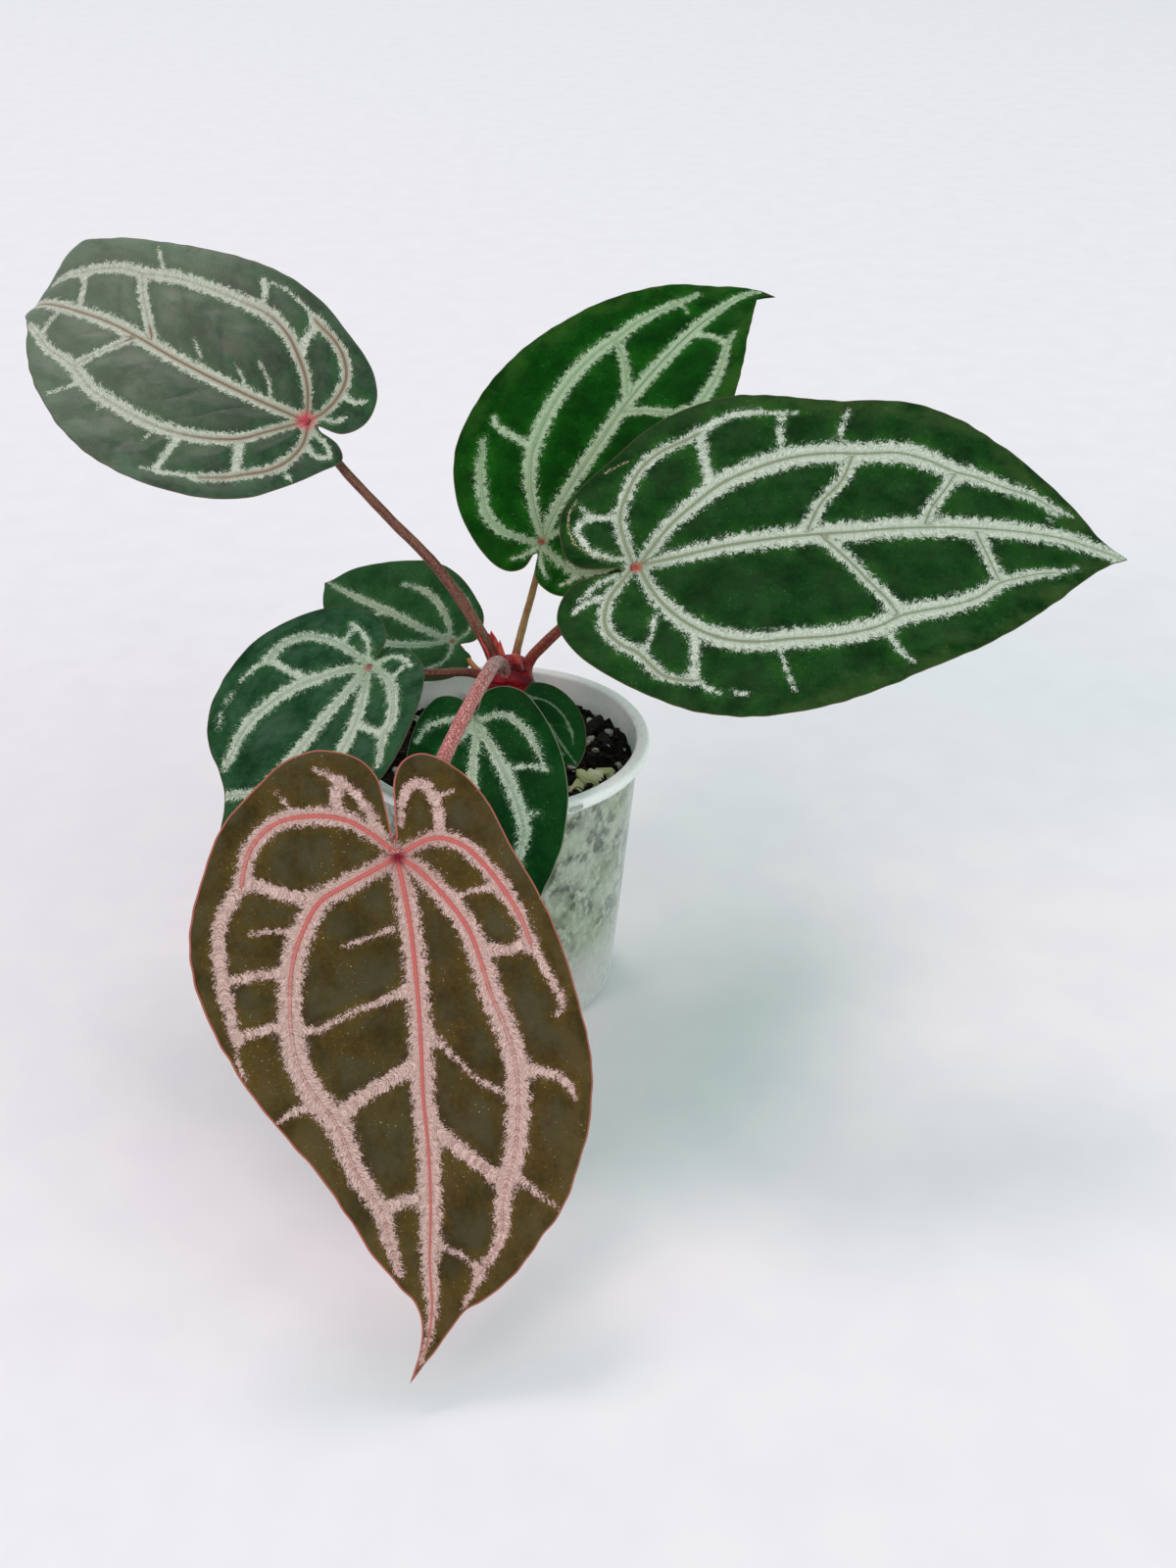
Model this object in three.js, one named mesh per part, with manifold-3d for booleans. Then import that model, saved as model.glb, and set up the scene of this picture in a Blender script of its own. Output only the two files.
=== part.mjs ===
// A potted anthurium: eight heart-shaped, pale-veined leaves on slender stalks that rise from one short
// swollen stem, in a small translucent nursery pot filled with bark and perlite.
// Millimetres, +Z up, the origin at the middle of the pot's base; -Y is the front.
import * as THREE from "three";
import { mergeVertices } from "three/addons/utils/BufferGeometryUtils.js";
import Module from "manifold-3d";

const wasm = await Module();
wasm.setup();

// Driving dimensions
const clearance = 0.3; // between pieces that touch
const pot = {
  height: 86,
  rimRadius: 45,
  mouthRadius: 41,
  baseRadius: 34,
  wall: 1.2,
  floor: 1.6,
  rimThickness: 1.4,
  skirt: 3.6, // depth of the rim's turned-down edge
  footRounding: 2,
  drainHoles: 8,
  drainHoleRadius: 3.2,
  drainRingRadius: 22,
};
const soil = { top: 78.5, roughness: 1.5, chips: 30 };
const stem = { x: 4, y: 0, foot: 58, buriedRadius: 4.4, crownRadius: 7.2, top: 111 };
const bladeThickness = 0.8;
const midribDepth = 0.9; // how far the midrib stands out below a blade

// Every leaf, with its attachment point on the stalk, the way it points (heading, pitch and roll in
// degrees), its length from the attachment to the tip, how it bends (droop along the midrib, fold across
// it, sweep to the side, curl of the tip) and its outline as [across, along] from the sinus to the tip,
// on the right and on the left. The stalk's points run from the crown up to where it bends into the blade.
const leaves = {
  left_high: {
    at: [-54, 30, 172], heading: 158, pitch: 22, roll: -38, length: 107,
    droop: 20, fold: 8, sweep: 0, curl: 72, wave: 0.5,
    tip: [-5, 110],
    right: [[0.5, -4], [2, -11], [8, -15], [16, -14], [23, -8], [29, 4], [33.5, 16], [35.5, 30],
      [34.5, 44], [32, 57], [29, 69], [26, 80], [22.5, 89], [20, 96], [15, 101], [6, 104], [-1, 106.5]],
    left: [[-0.5, -4], [-1.5, -12], [-5, -15.5], [-11, -13], [-20, -8], [-30, -1], [-37, 9], [-41, 22],
      [-42.5, 36], [-41.5, 48], [-37.5, 60], [-31.5, 71.5], [-24.5, 81.5], [-17.5, 88.5],
      [-12.5, 93], [-9, 98.5], [-7, 104]],
    stalk: [[2, 0, 107], [-2, 1, 116], [-10, 6, 127], [-18, 12, 136], [-30, 19, 146], [-45, 27, 160]],
    stalkRadius: [1.9, 1.25],
  },
  back_middle: {
    at: [13, 25, 137], heading: 64, pitch: 32, roll: 5, length: 124,
    droop: 15, fold: 8, sweep: 18, curl: 12, wave: 0.8,
    tip: [8, 130.5],
    right: [[0.5, -4], [3, -12], [9, -16], [15, -16.5], [22, -13], [29, -6], [34, 5], [37, 18], [38, 32],
      [37, 46], [34, 60], [29.5, 74], [24, 88], [17.5, 101], [12, 112], [7.5, 120], [4, 126.5], [3.5, 129]],
    left: [[-0.5, -4], [-1.5, -10], [-5, -12.5], [-10, -12], [-17, -8], [-25, -1], [-32, 8], [-38, 20],
      [-40.5, 33], [-41, 46], [-39, 60], [-35, 74], [-30, 88], [-24.5, 99], [-17, 110], [-9, 118],
      [-5, 123.5], [-1, 129], [2, 131.5]],
    stalk: [[5, 2, 106], [6, 5, 111], [8, 12, 117], [10.5, 19, 124]],
    stalkRadius: [1.3, 0.95],
  },
  right_large: {
    at: [40, -5, 142], heading: -3, pitch: 9, roll: 32, length: 134,
    droop: 15, fold: 6, sweep: 6, curl: 8, wave: 0.9,
    tip: [-3, 136.5],
    right: [[0.5, -4], [2.5, -17], [8, -21.5], [16, -22.5], [26, -18], [36, -8.5], [44.5, 2.5], [51, 14],
      [54, 27], [53.5, 39], [50.5, 52], [45, 66], [38.5, 79], [32, 92], [24, 104], [14, 115.5],
      [5, 125], [0, 131.5]],
    left: [[-0.5, -4], [-2, -15], [-6, -19.5], [-14, -21], [-21, -20], [-28, -14], [-36, -4], [-44, 6],
      [-50, 18], [-53, 31], [-52, 44], [-49.5, 57], [-49, 67], [-48, 77], [-44, 88], [-37, 99],
      [-28, 110], [-17, 121], [-7, 130]],
    stalk: [[8, -1, 107], [10.5, -1, 112], [14, -2, 116.5], [22, -3, 125], [31, -3, 133]],
    stalkRadius: [1.7, 1.4],
  },
  small_back: {
    at: [-14, 20, 107], heading: 139, pitch: 6, roll: -30, length: 60,
    droop: 12, fold: 8, sweep: 0, curl: 0, wave: 0.3,
    tip: [-1, 60],
    right: [[0.4, -3], [4, -6.5], [11, -4], [16, 4], [19.5, 14], [20, 25], [17.5, 33], [13, 43], [7, 53]],
    left: [[-0.4, -3], [-1.6, -9], [-6, -11], [-12, -8.5], [-17.5, -1], [-20, 11], [-20, 24], [-17, 36],
      [-12.5, 46], [-6.5, 54.5]],
    stalk: [[-1, 2, 103], [-5, 5, 104], [-8, 11, 104]],
    stalkRadius: [1.0, 0.8],
  },
  left_low: {
    at: [-35, -15, 116], heading: 231, pitch: -22, roll: -8, length: 66,
    droop: 18, fold: 8, sweep: 10, curl: 25, wave: 0.5,
    tip: [-2, 66],
    right: [[0.5, -4], [2.5, -11], [8, -15.5], [14, -16], [21, -13], [27, -6], [31, 5], [32.5, 17],
      [31.5, 29], [28, 38], [21.5, 45], [13, 49.5], [6, 54]],
    left: [[-0.5, -4], [-1.5, -9.5], [-5, -11], [-10, -10], [-15.5, -7], [-21.5, 1], [-26.5, 11], [-30, 22],
      [-31, 33], [-27.5, 42], [-21, 50], [-13, 56], [-6, 61]],
    stalk: [[-1, -1, 105], [-7, -3, 108], [-19, -9, 111]],
    stalkRadius: [1.4, 1.1],
  },
  front_low: {
    at: [-4, -28, 106], heading: 283, pitch: -38, roll: 0, length: 66,
    droop: 16, fold: 8, sweep: 0, curl: 20, wave: 0.5,
    tip: [0, 66],
    right: [[0.5, -3], [3.5, -7.5], [9, -8.5], [14, -5], [19, 3], [22, 12], [22.5, 22], [21.5, 32],
      [18.5, 41], [13.5, 50], [7, 59]],
    left: [[-0.5, -3], [-3.5, -8.5], [-9, -9.5], [-14, -7], [-18, 0], [-21, 10], [-22, 20], [-20.5, 30],
      [-17, 40], [-12, 48.5], [-6, 57.5]],
    stalk: [[2.5, -4, 99], [0, -10, 101], [-3, -18, 103]],
    stalkRadius: [1.2, 0.95],
  },
  small_front: {
    at: [9, -12, 106], heading: 306, pitch: -20, roll: 10, length: 28,
    droop: 10, fold: 8, sweep: 0, curl: 0, wave: 0.2,
    tip: [0.5, 28],
    right: [[0.3, -1.5], [4, -2.5], [8, 1.5], [10, 9], [9.5, 16], [7, 21.5], [3.5, 25.5]],
    left: [[-0.3, -1.5], [-4, -2.5], [-8, 1.5], [-10, 8.5], [-9.5, 15], [-7.5, 20], [-4, 25]],
    stalk: [[6, -3, 100], [7.5, -7, 102]],
    stalkRadius: [0.9, 0.75],
  },
  new_front: {
    at: [-20, -95, 105], heading: 283, pitch: -45, roll: 0, length: 125,
    droop: 14, fold: 6, sweep: 5, curl: 0, wave: 0.6,
    tip: [7.5, 125],
    right: [[0.4, -4], [1.1, -14], [2.2, -21], [6, -26], [12, -28.5], [18, -29], [25, -26.5], [33, -20],
      [41, -12], [47, 0], [51, 12], [51.5, 24], [48.5, 36], [43, 49], [35, 62], [27, 73], [20.5, 84],
      [15, 94], [9, 102], [5.6, 106.5], [4.2, 111], [4.8, 117.5]],
    left: [[-0.4, -4], [-1.1, -13], [-2, -20], [-5, -24.5], [-10, -25.5], [-18, -20], [-24, -11],
      [-28, 1], [-33, 13], [-37, 26], [-39.5, 40], [-41, 53], [-39.5, 66], [-35, 79], [-30, 88.5],
      [-25, 94], [-19, 101], [-12, 106.5], [-6, 109.5], [-2.5, 113.5], [2, 119]],
    stalk: [[3, -2, 106], [2, -6, 112], [0.5, -15, 117], [-1.5, -30, 120], [-5, -48, 120.5],
      [-9, -64, 118], [-14, -79, 112]],
    stalkRadius: [2.4, 2.0],
  },
};

const degrees = THREE.MathUtils.degToRad;
const vector = (p) => new THREE.Vector3(...p);

// Solids: geometry to solid and back

function geometryFrom(points, triangles) {
  const geometry = new THREE.BufferGeometry();
  geometry.setAttribute("position", new THREE.Float32BufferAttribute(points.flat(), 3));
  geometry.setIndex(triangles.flat());
  return geometry;
}

function solidOf(geometry) {
  const bare = geometry.clone();
  bare.deleteAttribute("normal");
  bare.deleteAttribute("uv");
  const merged = mergeVertices(bare, 1e-4);
  return new wasm.Manifold(
    new wasm.Mesh({
      numProp: 3,
      vertProperties: new Float32Array(merged.attributes.position.array),
      triVerts: new Uint32Array(merged.index.array),
    }),
  );
}

function geometryOf(solid) {
  const mesh = solid.getMesh();
  const geometry = new THREE.BufferGeometry();
  geometry.setAttribute("position", new THREE.Float32BufferAttribute(mesh.vertProperties, 3));
  geometry.setIndex(new THREE.Uint32BufferAttribute(mesh.triVerts, 1));
  geometry.computeVertexNormals();
  return geometry;
}

function largestBody(solid) {
  return solid.decompose().sort((a, b) => b.volume() - a.volume())[0];
}

// A closed solid between two matching faces, each a centre point and rings of points around it.
function facePair(topCentre, topRings, bottomCentre, bottomRings) {
  const around = topRings[0].length;
  const points = [topCentre, bottomCentre, ...topRings.flat(), ...bottomRings.flat()];
  const top = (ring, i) => 2 + ring * around + (i % around);
  const bottom = (ring, i) => top(ring, i) + topRings.length * around;
  const triangles = [];
  for (let i = 0; i < around; i++) {
    triangles.push([0, top(0, i), top(0, i + 1)], [1, bottom(0, i + 1), bottom(0, i)]);
    for (let ring = 1; ring < topRings.length; ring++) {
      triangles.push([top(ring - 1, i), top(ring, i), top(ring, i + 1)]);
      triangles.push([top(ring - 1, i), top(ring, i + 1), top(ring - 1, i + 1)]);
      triangles.push([bottom(ring - 1, i), bottom(ring, i + 1), bottom(ring, i)]);
      triangles.push([bottom(ring - 1, i), bottom(ring - 1, i + 1), bottom(ring, i + 1)]);
    }
    const last = topRings.length - 1;
    triangles.push([top(last, i), bottom(last, i), bottom(last, i + 1)]);
    triangles.push([top(last, i), bottom(last, i + 1), top(last, i + 1)]);
  }
  return geometryFrom(points, triangles);
}

// A tube along a curve whose radius changes along it, closed at both ends.
function taperedTube(path, radiusAt, steps, sides) {
  const curve = new THREE.CatmullRomCurve3(path, false, "centripetal");
  const frames = curve.computeFrenetFrames(steps, false);
  const points = [path[0].toArray()];
  const triangles = [];
  for (let step = 0; step <= steps; step++) {
    const centre = curve.getPointAt(step / steps);
    const radius = radiusAt(step / steps);
    for (let side = 0; side < sides; side++) {
      const turn = (side / sides) * 2 * Math.PI;
      const offset = frames.normals[step]
        .clone()
        .multiplyScalar(radius * Math.cos(turn))
        .addScaledVector(frames.binormals[step], radius * Math.sin(turn));
      points.push(centre.clone().add(offset).toArray());
    }
  }
  points.push(path.at(-1).toArray());
  const at = (step, side) => 1 + step * sides + (side % sides);
  for (let side = 0; side < sides; side++) {
    triangles.push([0, at(0, side + 1), at(0, side)]);
    triangles.push([points.length - 1, at(steps, side), at(steps, side + 1)]);
    for (let step = 0; step < steps; step++) {
      triangles.push([at(step, side), at(step, side + 1), at(step + 1, side + 1)]);
      triangles.push([at(step, side), at(step + 1, side + 1), at(step + 1, side)]);
    }
  }
  return geometryFrom(points, triangles);
}

// Leaf blades

// The leaf's own axes at its attachment: along the midrib, to the right of it, and out of its upper face.
function leafAxes(leaf) {
  const heading = degrees(leaf.heading);
  const pitch = degrees(leaf.pitch);
  const roll = degrees(leaf.roll);
  const along = vector([
    Math.cos(pitch) * Math.cos(heading),
    Math.cos(pitch) * Math.sin(heading),
    Math.sin(pitch),
  ]);
  const levelRight = vector([Math.sin(heading), -Math.cos(heading), 0]);
  const levelUp = levelRight.clone().cross(along);
  const rolled = (cosine, sine) =>
    levelRight.clone().multiplyScalar(cosine).addScaledVector(levelUp, sine);
  const right = rolled(Math.cos(roll), -Math.sin(roll));
  const up = rolled(Math.sin(roll), Math.cos(roll));
  return { along, right, up };
}

// The midrib from the back of the lobes to beyond the tip: its points, and its frame at each.
function midribOf(leaf) {
  const axes = leafAxes(leaf);
  const step = 0.005;
  const first = -0.5;
  const count = Math.round(1.7 / step);
  const frames = [];
  let point = new THREE.Vector3();
  for (let i = 0; i <= count; i++) {
    const s = first + i * step;
    const nearTip = Math.max(0, (s - 0.78) / 0.22);
    const bend = -degrees(leaf.droop) * Math.max(s, -0.3) - degrees(leaf.curl) * nearTip ** 2;
    const turn = degrees(leaf.sweep) * Math.max(s, 0);
    const direction = axes.along
      .clone()
      .multiplyScalar(Math.cos(bend) * Math.cos(turn))
      .addScaledVector(axes.up, Math.sin(bend))
      .addScaledVector(axes.right, Math.cos(bend) * Math.sin(turn));
    const right = axes.right
      .clone()
      .multiplyScalar(Math.cos(turn))
      .addScaledVector(axes.along, -Math.sin(turn));
    frames.push({ s, point: point.clone(), right, up: right.clone().cross(direction).normalize() });
    point = point.addScaledVector(direction, step * leaf.length);
  }
  const start = frames[Math.round(-first / step)].point.clone();
  for (const frame of frames) frame.point.sub(start).add(vector(leaf.at));
  return (along) => {
    const place = Math.min(Math.max((along / leaf.length - first) / step, 0), count - 1);
    const low = frames[Math.floor(place)];
    const high = frames[Math.floor(place) + 1];
    const part = place - Math.floor(place);
    return {
      point: low.point.clone().lerp(high.point, part),
      right: low.right.clone().lerp(high.right, part).normalize(),
      up: low.up.clone().lerp(high.up, part).normalize(),
    };
  };
}

// A point of the bent blade: across and along are measured on the flat leaf.
function bladePoint(leaf, midrib, across, along, height = 0) {
  const frame = midrib(along);
  const fold = degrees(leaf.fold);
  const softWidth = 4; // the fold is rounded over this distance from the midrib
  const outward = Math.hypot(across, softWidth) - softWidth;
  const edge = (across / (0.4 * leaf.length)) ** 2;
  const wave = leaf.wave * edge * Math.sin((along / leaf.length) * 9 + (across > 0 ? 0 : 1.7));
  return frame.point
    .clone()
    .addScaledVector(frame.right, across * Math.cos(fold))
    .addScaledVector(frame.up, outward * Math.sin(fold) + wave + height);
}

// The outline as evenly spaced points: the sinus, right side, tip and left side.
function outlineOf(leaf, count) {
  const corner = ([across, along]) => new THREE.Vector3(across, along, 0);
  const side = (points) =>
    new THREE.CatmullRomCurve3([...points, leaf.tip].map(corner), false, "centripetal");
  const half = count / 2;
  const points = [];
  const right = side(leaf.right);
  const left = side(leaf.left);
  for (let i = 0; i < half; i++) points.push(right.getPointAt(i / half));
  for (let i = half; i > 0; i--) points.push(left.getPointAt(i / half));
  return points.map((p) => [p.x, p.y]);
}

// How far the middle of the flat blade has bent sideways, on its way to the tip.
function middleOf(leaf, along) {
  const [tipAcross, tipAlong] = leaf.tip;
  const start = 0.72 * leaf.length;
  return tipAcross * (Math.max(0, along - start) / (tipAlong - start)) ** 2;
}

// The blade between offsets below and above its middle surface, with the midrib standing out below.
function bladeSolid(leaf, { outline, rings, above = 0, below = bladeThickness }) {
  const midrib = midribOf(leaf);
  const hub = leaf.length * 0.1;
  const edge = outlineOf(leaf, outline);
  const face = (offset) => {
    const at = (across, along) =>
      bladePoint(leaf, midrib, across, along, offset(across, along)).toArray();
    const ringsOfPoints = [];
    for (let ring = 1; ring <= rings; ring++) {
      const reach = (ring / rings) ** 0.85;
      const inwards = ([across, along]) => {
        const nearer = hub + (along - hub) * reach;
        return at((across - middleOf(leaf, along)) * reach + middleOf(leaf, nearer), nearer);
      };
      ringsOfPoints.push(edge.map(inwards));
    }
    return [at(0, hub), ringsOfPoints];
  };
  const rib = (across, along) => {
    if (along < -2) return 0;
    return midribDepth * Math.exp(-((across / 1.5) ** 2)) * Math.max(0, 1 - along / leaf.length);
  };
  const [topCentre, topRings] = face(() => above);
  const [bottomCentre, bottomRings] = face((across, along) => -below - rib(across, along));
  return solidOf(facePair(topCentre, topRings, bottomCentre, bottomRings));
}

function finenessOf(leaf) {
  if (leaf.length > 90) return { outline: 60, rings: 6 };
  if (leaf.length > 40) return { outline: 44, rings: 4 };
  return { outline: 32, rings: 3 };
}

// Leaf stalks: from inside the crown to the underside of the blade, ending in a slight swelling.
function stalkSolid(leaf) {
  const { along, up } = leafAxes(leaf);
  const attachment = vector(leaf.at);
  const reach = 0.03 * leaf.length + 1.5; // the bend where the stalk turns up into the blade
  const knee = attachment.clone().addScaledVector(up, -reach).addScaledVector(along, -0.6 * reach);
  const path = [...leaf.stalk.map(vector), knee, attachment.clone().addScaledVector(up, 0.8)];
  const [base, tip] = leaf.stalkRadius;
  const swelling = (t) => 0.25 * tip * Math.exp(-(((1 - t) / 0.07) ** 2));
  const radius = (t) => base + (tip - base) * t ** 0.7 + swelling(t);
  return solidOf(taperedTube(path, radius, Math.max(8, 2 * path.length + 4), 8));
}

// The stem: a buried root stock, the neck above the soil, and the swollen crown that the stalks leave.
function stemSolid(grow = 0) {
  const neck = soil.top + 3;
  const profile = [
    [0, stem.foot - grow],
    [stem.buriedRadius + grow, stem.foot - grow],
    [stem.buriedRadius + grow, neck],
    [stem.buriedRadius + 0.9 + grow, neck + 3],
    [stem.buriedRadius + 0.3 + grow, neck + 6],
    [stem.buriedRadius + 1.3 + grow, neck + 10],
    [stem.buriedRadius + 1.0 + grow, neck + 13],
    [stem.crownRadius + grow, neck + 19],
    [stem.crownRadius + 0.2 + grow, neck + 23],
    [stem.crownRadius - 1.4 + grow, neck + 26.5],
    [2.6, stem.top + grow],
    [0, stem.top + 0.3 + grow],
  ].map(([radius, z]) => new THREE.Vector2(radius, z));
  const geometry = new THREE.LatheGeometry(profile, 20);
  geometry.rotateX(Math.PI / 2);
  geometry.translate(stem.x, stem.y, 0);
  return solidOf(geometry);
}

// A pale bud and a dry papery bract stand on the crown.
function budSolid(grow = 0) {
  const bud = new THREE.SphereGeometry(1, 10, 8);
  bud.scale(1.9 + grow, 1.9 + grow, 2.8 + grow);
  bud.translate(6.2, -2.6, stem.top - 1.4);
  return solidOf(bud);
}

function bractSolid(grow = 0) {
  const path = [[-1.0, -1.8, 106], [-0.6, -1.6, 111], [0.2, -1.2, 115.5], [0.6, -1.0, 118.5]].map(vector);
  return solidOf(taperedTube(path, (t) => 1.7 - 1.1 * t + grow, 8, 6));
}

// The pot: one thin wall with a turned-over rim, drain holes round a solid middle, and a small blank
// raised panel on the front of the rim.
const wallRadiusAt = (z) => pot.baseRadius + ((pot.mouthRadius + pot.wall - pot.baseRadius) * z) / pot.height;

function potSolid() {
  const { height, rimRadius, mouthRadius, baseRadius, wall, floor, rimThickness, skirt, footRounding } = pot;
  const underRim = height - rimThickness;
  const profile = [
    [0, 0],
    [baseRadius - footRounding, 0],
    [baseRadius - 0.6, 0.6],
    [baseRadius, footRounding],
    [wallRadiusAt(underRim), underRim],
    [rimRadius - rimThickness, underRim],
    [rimRadius - rimThickness, height - skirt],
    [rimRadius, height - skirt],
    [rimRadius, height - 0.8],
    [rimRadius - 0.8, height],
    [mouthRadius + 0.6, height],
    [mouthRadius, height - 0.8],
    [baseRadius - wall, floor + 1],
    [baseRadius - wall - 1, floor],
    [0, floor],
  ].map(([radius, z]) => new THREE.Vector2(radius, z));
  const body = new THREE.LatheGeometry(profile, 48);
  body.rotateX(Math.PI / 2);
  let solid = solidOf(body);
  for (let hole = 0; hole < pot.drainHoles; hole++) {
    const turn = ((hole + 0.5) / pot.drainHoles) * 2 * Math.PI;
    const drill = new THREE.CylinderGeometry(pot.drainHoleRadius, pot.drainHoleRadius, 10, 12);
    drill.rotateX(Math.PI / 2);
    drill.translate(pot.drainRingRadius * Math.cos(turn), pot.drainRingRadius * Math.sin(turn), 0);
    solid = solid.subtract(solidOf(drill));
  }
  const panel = new THREE.BoxGeometry(3.8, 1, 2.2);
  panel.translate(0, -(rimRadius - 0.25), height - 0.5 * skirt - 0.2);
  panel.rotateZ(degrees(31));
  return solid.add(solidOf(panel));
}

// The potting mix: it fills the pot to a rough top with chips of bark and perlite half sunk in it.
function seededRandom(seed) {
  let state = seed;
  return () => {
    state = (state * 1664525 + 1013904223) % 4294967296;
    return state / 4294967296;
  };
}

function soilSolid() {
  const random = seededRandom(7);
  const around = 30;
  const rings = 5;
  const bottom = pot.floor + clearance;
  const innerRadius = (z) => wallRadiusAt(z) - pot.wall - clearance - 0.3;
  const ring = (reach, z) =>
    Array.from({ length: around }, (_, i) => {
      const turn = (i / around) * 2 * Math.PI;
      return [reach * Math.cos(turn), reach * Math.sin(turn), z()];
    });
  const rough = () => soil.top + soil.roughness * (2 * random() - 1);
  const topRings = [];
  const bottomRings = [];
  for (let r = 1; r <= rings; r++) {
    topRings.push(ring((innerRadius(soil.top - 3) * r) / rings, r < rings ? rough : () => soil.top - 1));
    bottomRings.push(ring(((innerRadius(bottom) - 1) * r) / rings, () => bottom));
  }
  const body = facePair([0, 0, soil.top], topRings, [0, 0, bottom], bottomRings);
  let solid = solidOf(body);
  for (let chip = 0; chip < soil.chips; chip++) {
    const turn = random() * 2 * Math.PI;
    const reach = 10 + random() * 24;
    const size = 1.6 + random() * 2.4;
    const geometry = new THREE.BoxGeometry(size * 1.5, size, size * 1.1);
    geometry.rotateX(random() * 3);
    geometry.rotateY(random() * 3);
    geometry.translate(reach * Math.cos(turn), reach * Math.sin(turn), soil.top + 0.3);
    solid = solid.add(solidOf(geometry));
  }
  const hole = new THREE.CylinderGeometry(
    stem.buriedRadius + clearance, stem.buriedRadius + clearance, 60, 20);
  hole.rotateX(Math.PI / 2);
  hole.translate(stem.x, stem.y, stem.foot - clearance + 30);
  return largestBody(solid.subtract(solidOf(hole)));
}

// The finished plant

const plant = new THREE.Group();

function addPiece(parent, name, solid, colour, roughness) {
  const material = new THREE.MeshStandardMaterial({ color: colour, roughness, metalness: 0 });
  const mesh = new THREE.Mesh(geometryOf(solid), material);
  mesh.name = name;
  parent.add(mesh);
}

const planter = new THREE.Group();
addPiece(planter, "pot", potSolid(), 0xd9e0da, 0.35);
addPiece(planter, "soil", soilSolid(), 0x2b201a, 0.95);
plant.add(planter);

const growth = new THREE.Group();
const crownOf = (grow) => stemSolid(grow).add(budSolid(grow)).add(bractSolid(grow));
const crownCutter = crownOf(clearance);
const bladeColour = { left_high: 0x4c6a52, new_front: 0x5d4526 };
const stalkColour = { new_front: 0xd98a80, back_middle: 0x8a6238, small_back: 0xa06a2c };
for (const [name, leaf] of Object.entries(leaves)) {
  const fineness = finenessOf(leaf);
  const blade = bladeSolid(leaf, fineness);
  const cutter = bladeSolid(leaf, { ...fineness, above: 5, below: bladeThickness + clearance });
  const stalk = largestBody(stalkSolid(leaf).subtract(crownCutter).subtract(cutter));
  addPiece(growth, `blade_${name}`, blade, bladeColour[name] ?? 0x1f4a24, 0.6);
  addPiece(growth, `stalk_${name}`, stalk, stalkColour[name] ?? 0x5c2a22, 0.5);
}
addPiece(growth, "stem", crownOf(0), 0x8c1420, 0.45);
plant.add(growth);

export default plant;
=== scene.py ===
# A potted anthurium: eight silver-veined leaves on slender stalks, in a translucent nursery pot.
# Lengths are in millimetres. The pot's base stands on z = 0, and the front is towards -y.
import math

import bpy
import numpy as np
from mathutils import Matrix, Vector


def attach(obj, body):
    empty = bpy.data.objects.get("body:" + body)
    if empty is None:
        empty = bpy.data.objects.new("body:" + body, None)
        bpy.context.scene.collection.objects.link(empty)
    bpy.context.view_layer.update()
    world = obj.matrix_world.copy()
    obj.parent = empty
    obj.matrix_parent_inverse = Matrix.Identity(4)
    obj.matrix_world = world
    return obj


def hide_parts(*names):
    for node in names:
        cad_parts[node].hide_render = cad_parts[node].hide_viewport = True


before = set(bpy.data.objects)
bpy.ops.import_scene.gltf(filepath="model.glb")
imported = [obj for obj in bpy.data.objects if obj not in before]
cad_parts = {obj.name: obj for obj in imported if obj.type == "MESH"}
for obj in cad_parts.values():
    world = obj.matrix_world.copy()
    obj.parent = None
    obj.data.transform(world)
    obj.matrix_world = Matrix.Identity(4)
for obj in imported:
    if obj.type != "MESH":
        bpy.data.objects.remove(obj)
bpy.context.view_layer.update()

MM = 0.001
POT = {"height": 86, "rim": 45, "mouth": 41, "base": 34, "wall": 1.2, "floor": 1.6, "lip": 1.4, "skirt": 3.6}
POT_FLARE = POT["mouth"] + POT["wall"] - POT["base"]  # how much wider the wall is at the top
DRAIN = {"holes": 8, "radius": 3.2, "ring": 22}
SOIL_TOP = 78.5
STEM_X = 4
BLADE_TOP = -0.15  # heights of a blade's two faces over the bent surface through its midrib
BLADE_UNDERSIDE = -0.75
MIDRIB_DEPTH = 0.9
LUMPS_REACH = 38.5  # the random lumps on the mix have their middles within this
LUMPS_EDGE = 39.0  # and every lump's edge stays within this
STEM_CLEARANCE = 6.5  # from the stem's axis to the middle of the nearest lumps
FULL_TURN = 6.28  # a little under a full turn, for random directions

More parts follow.
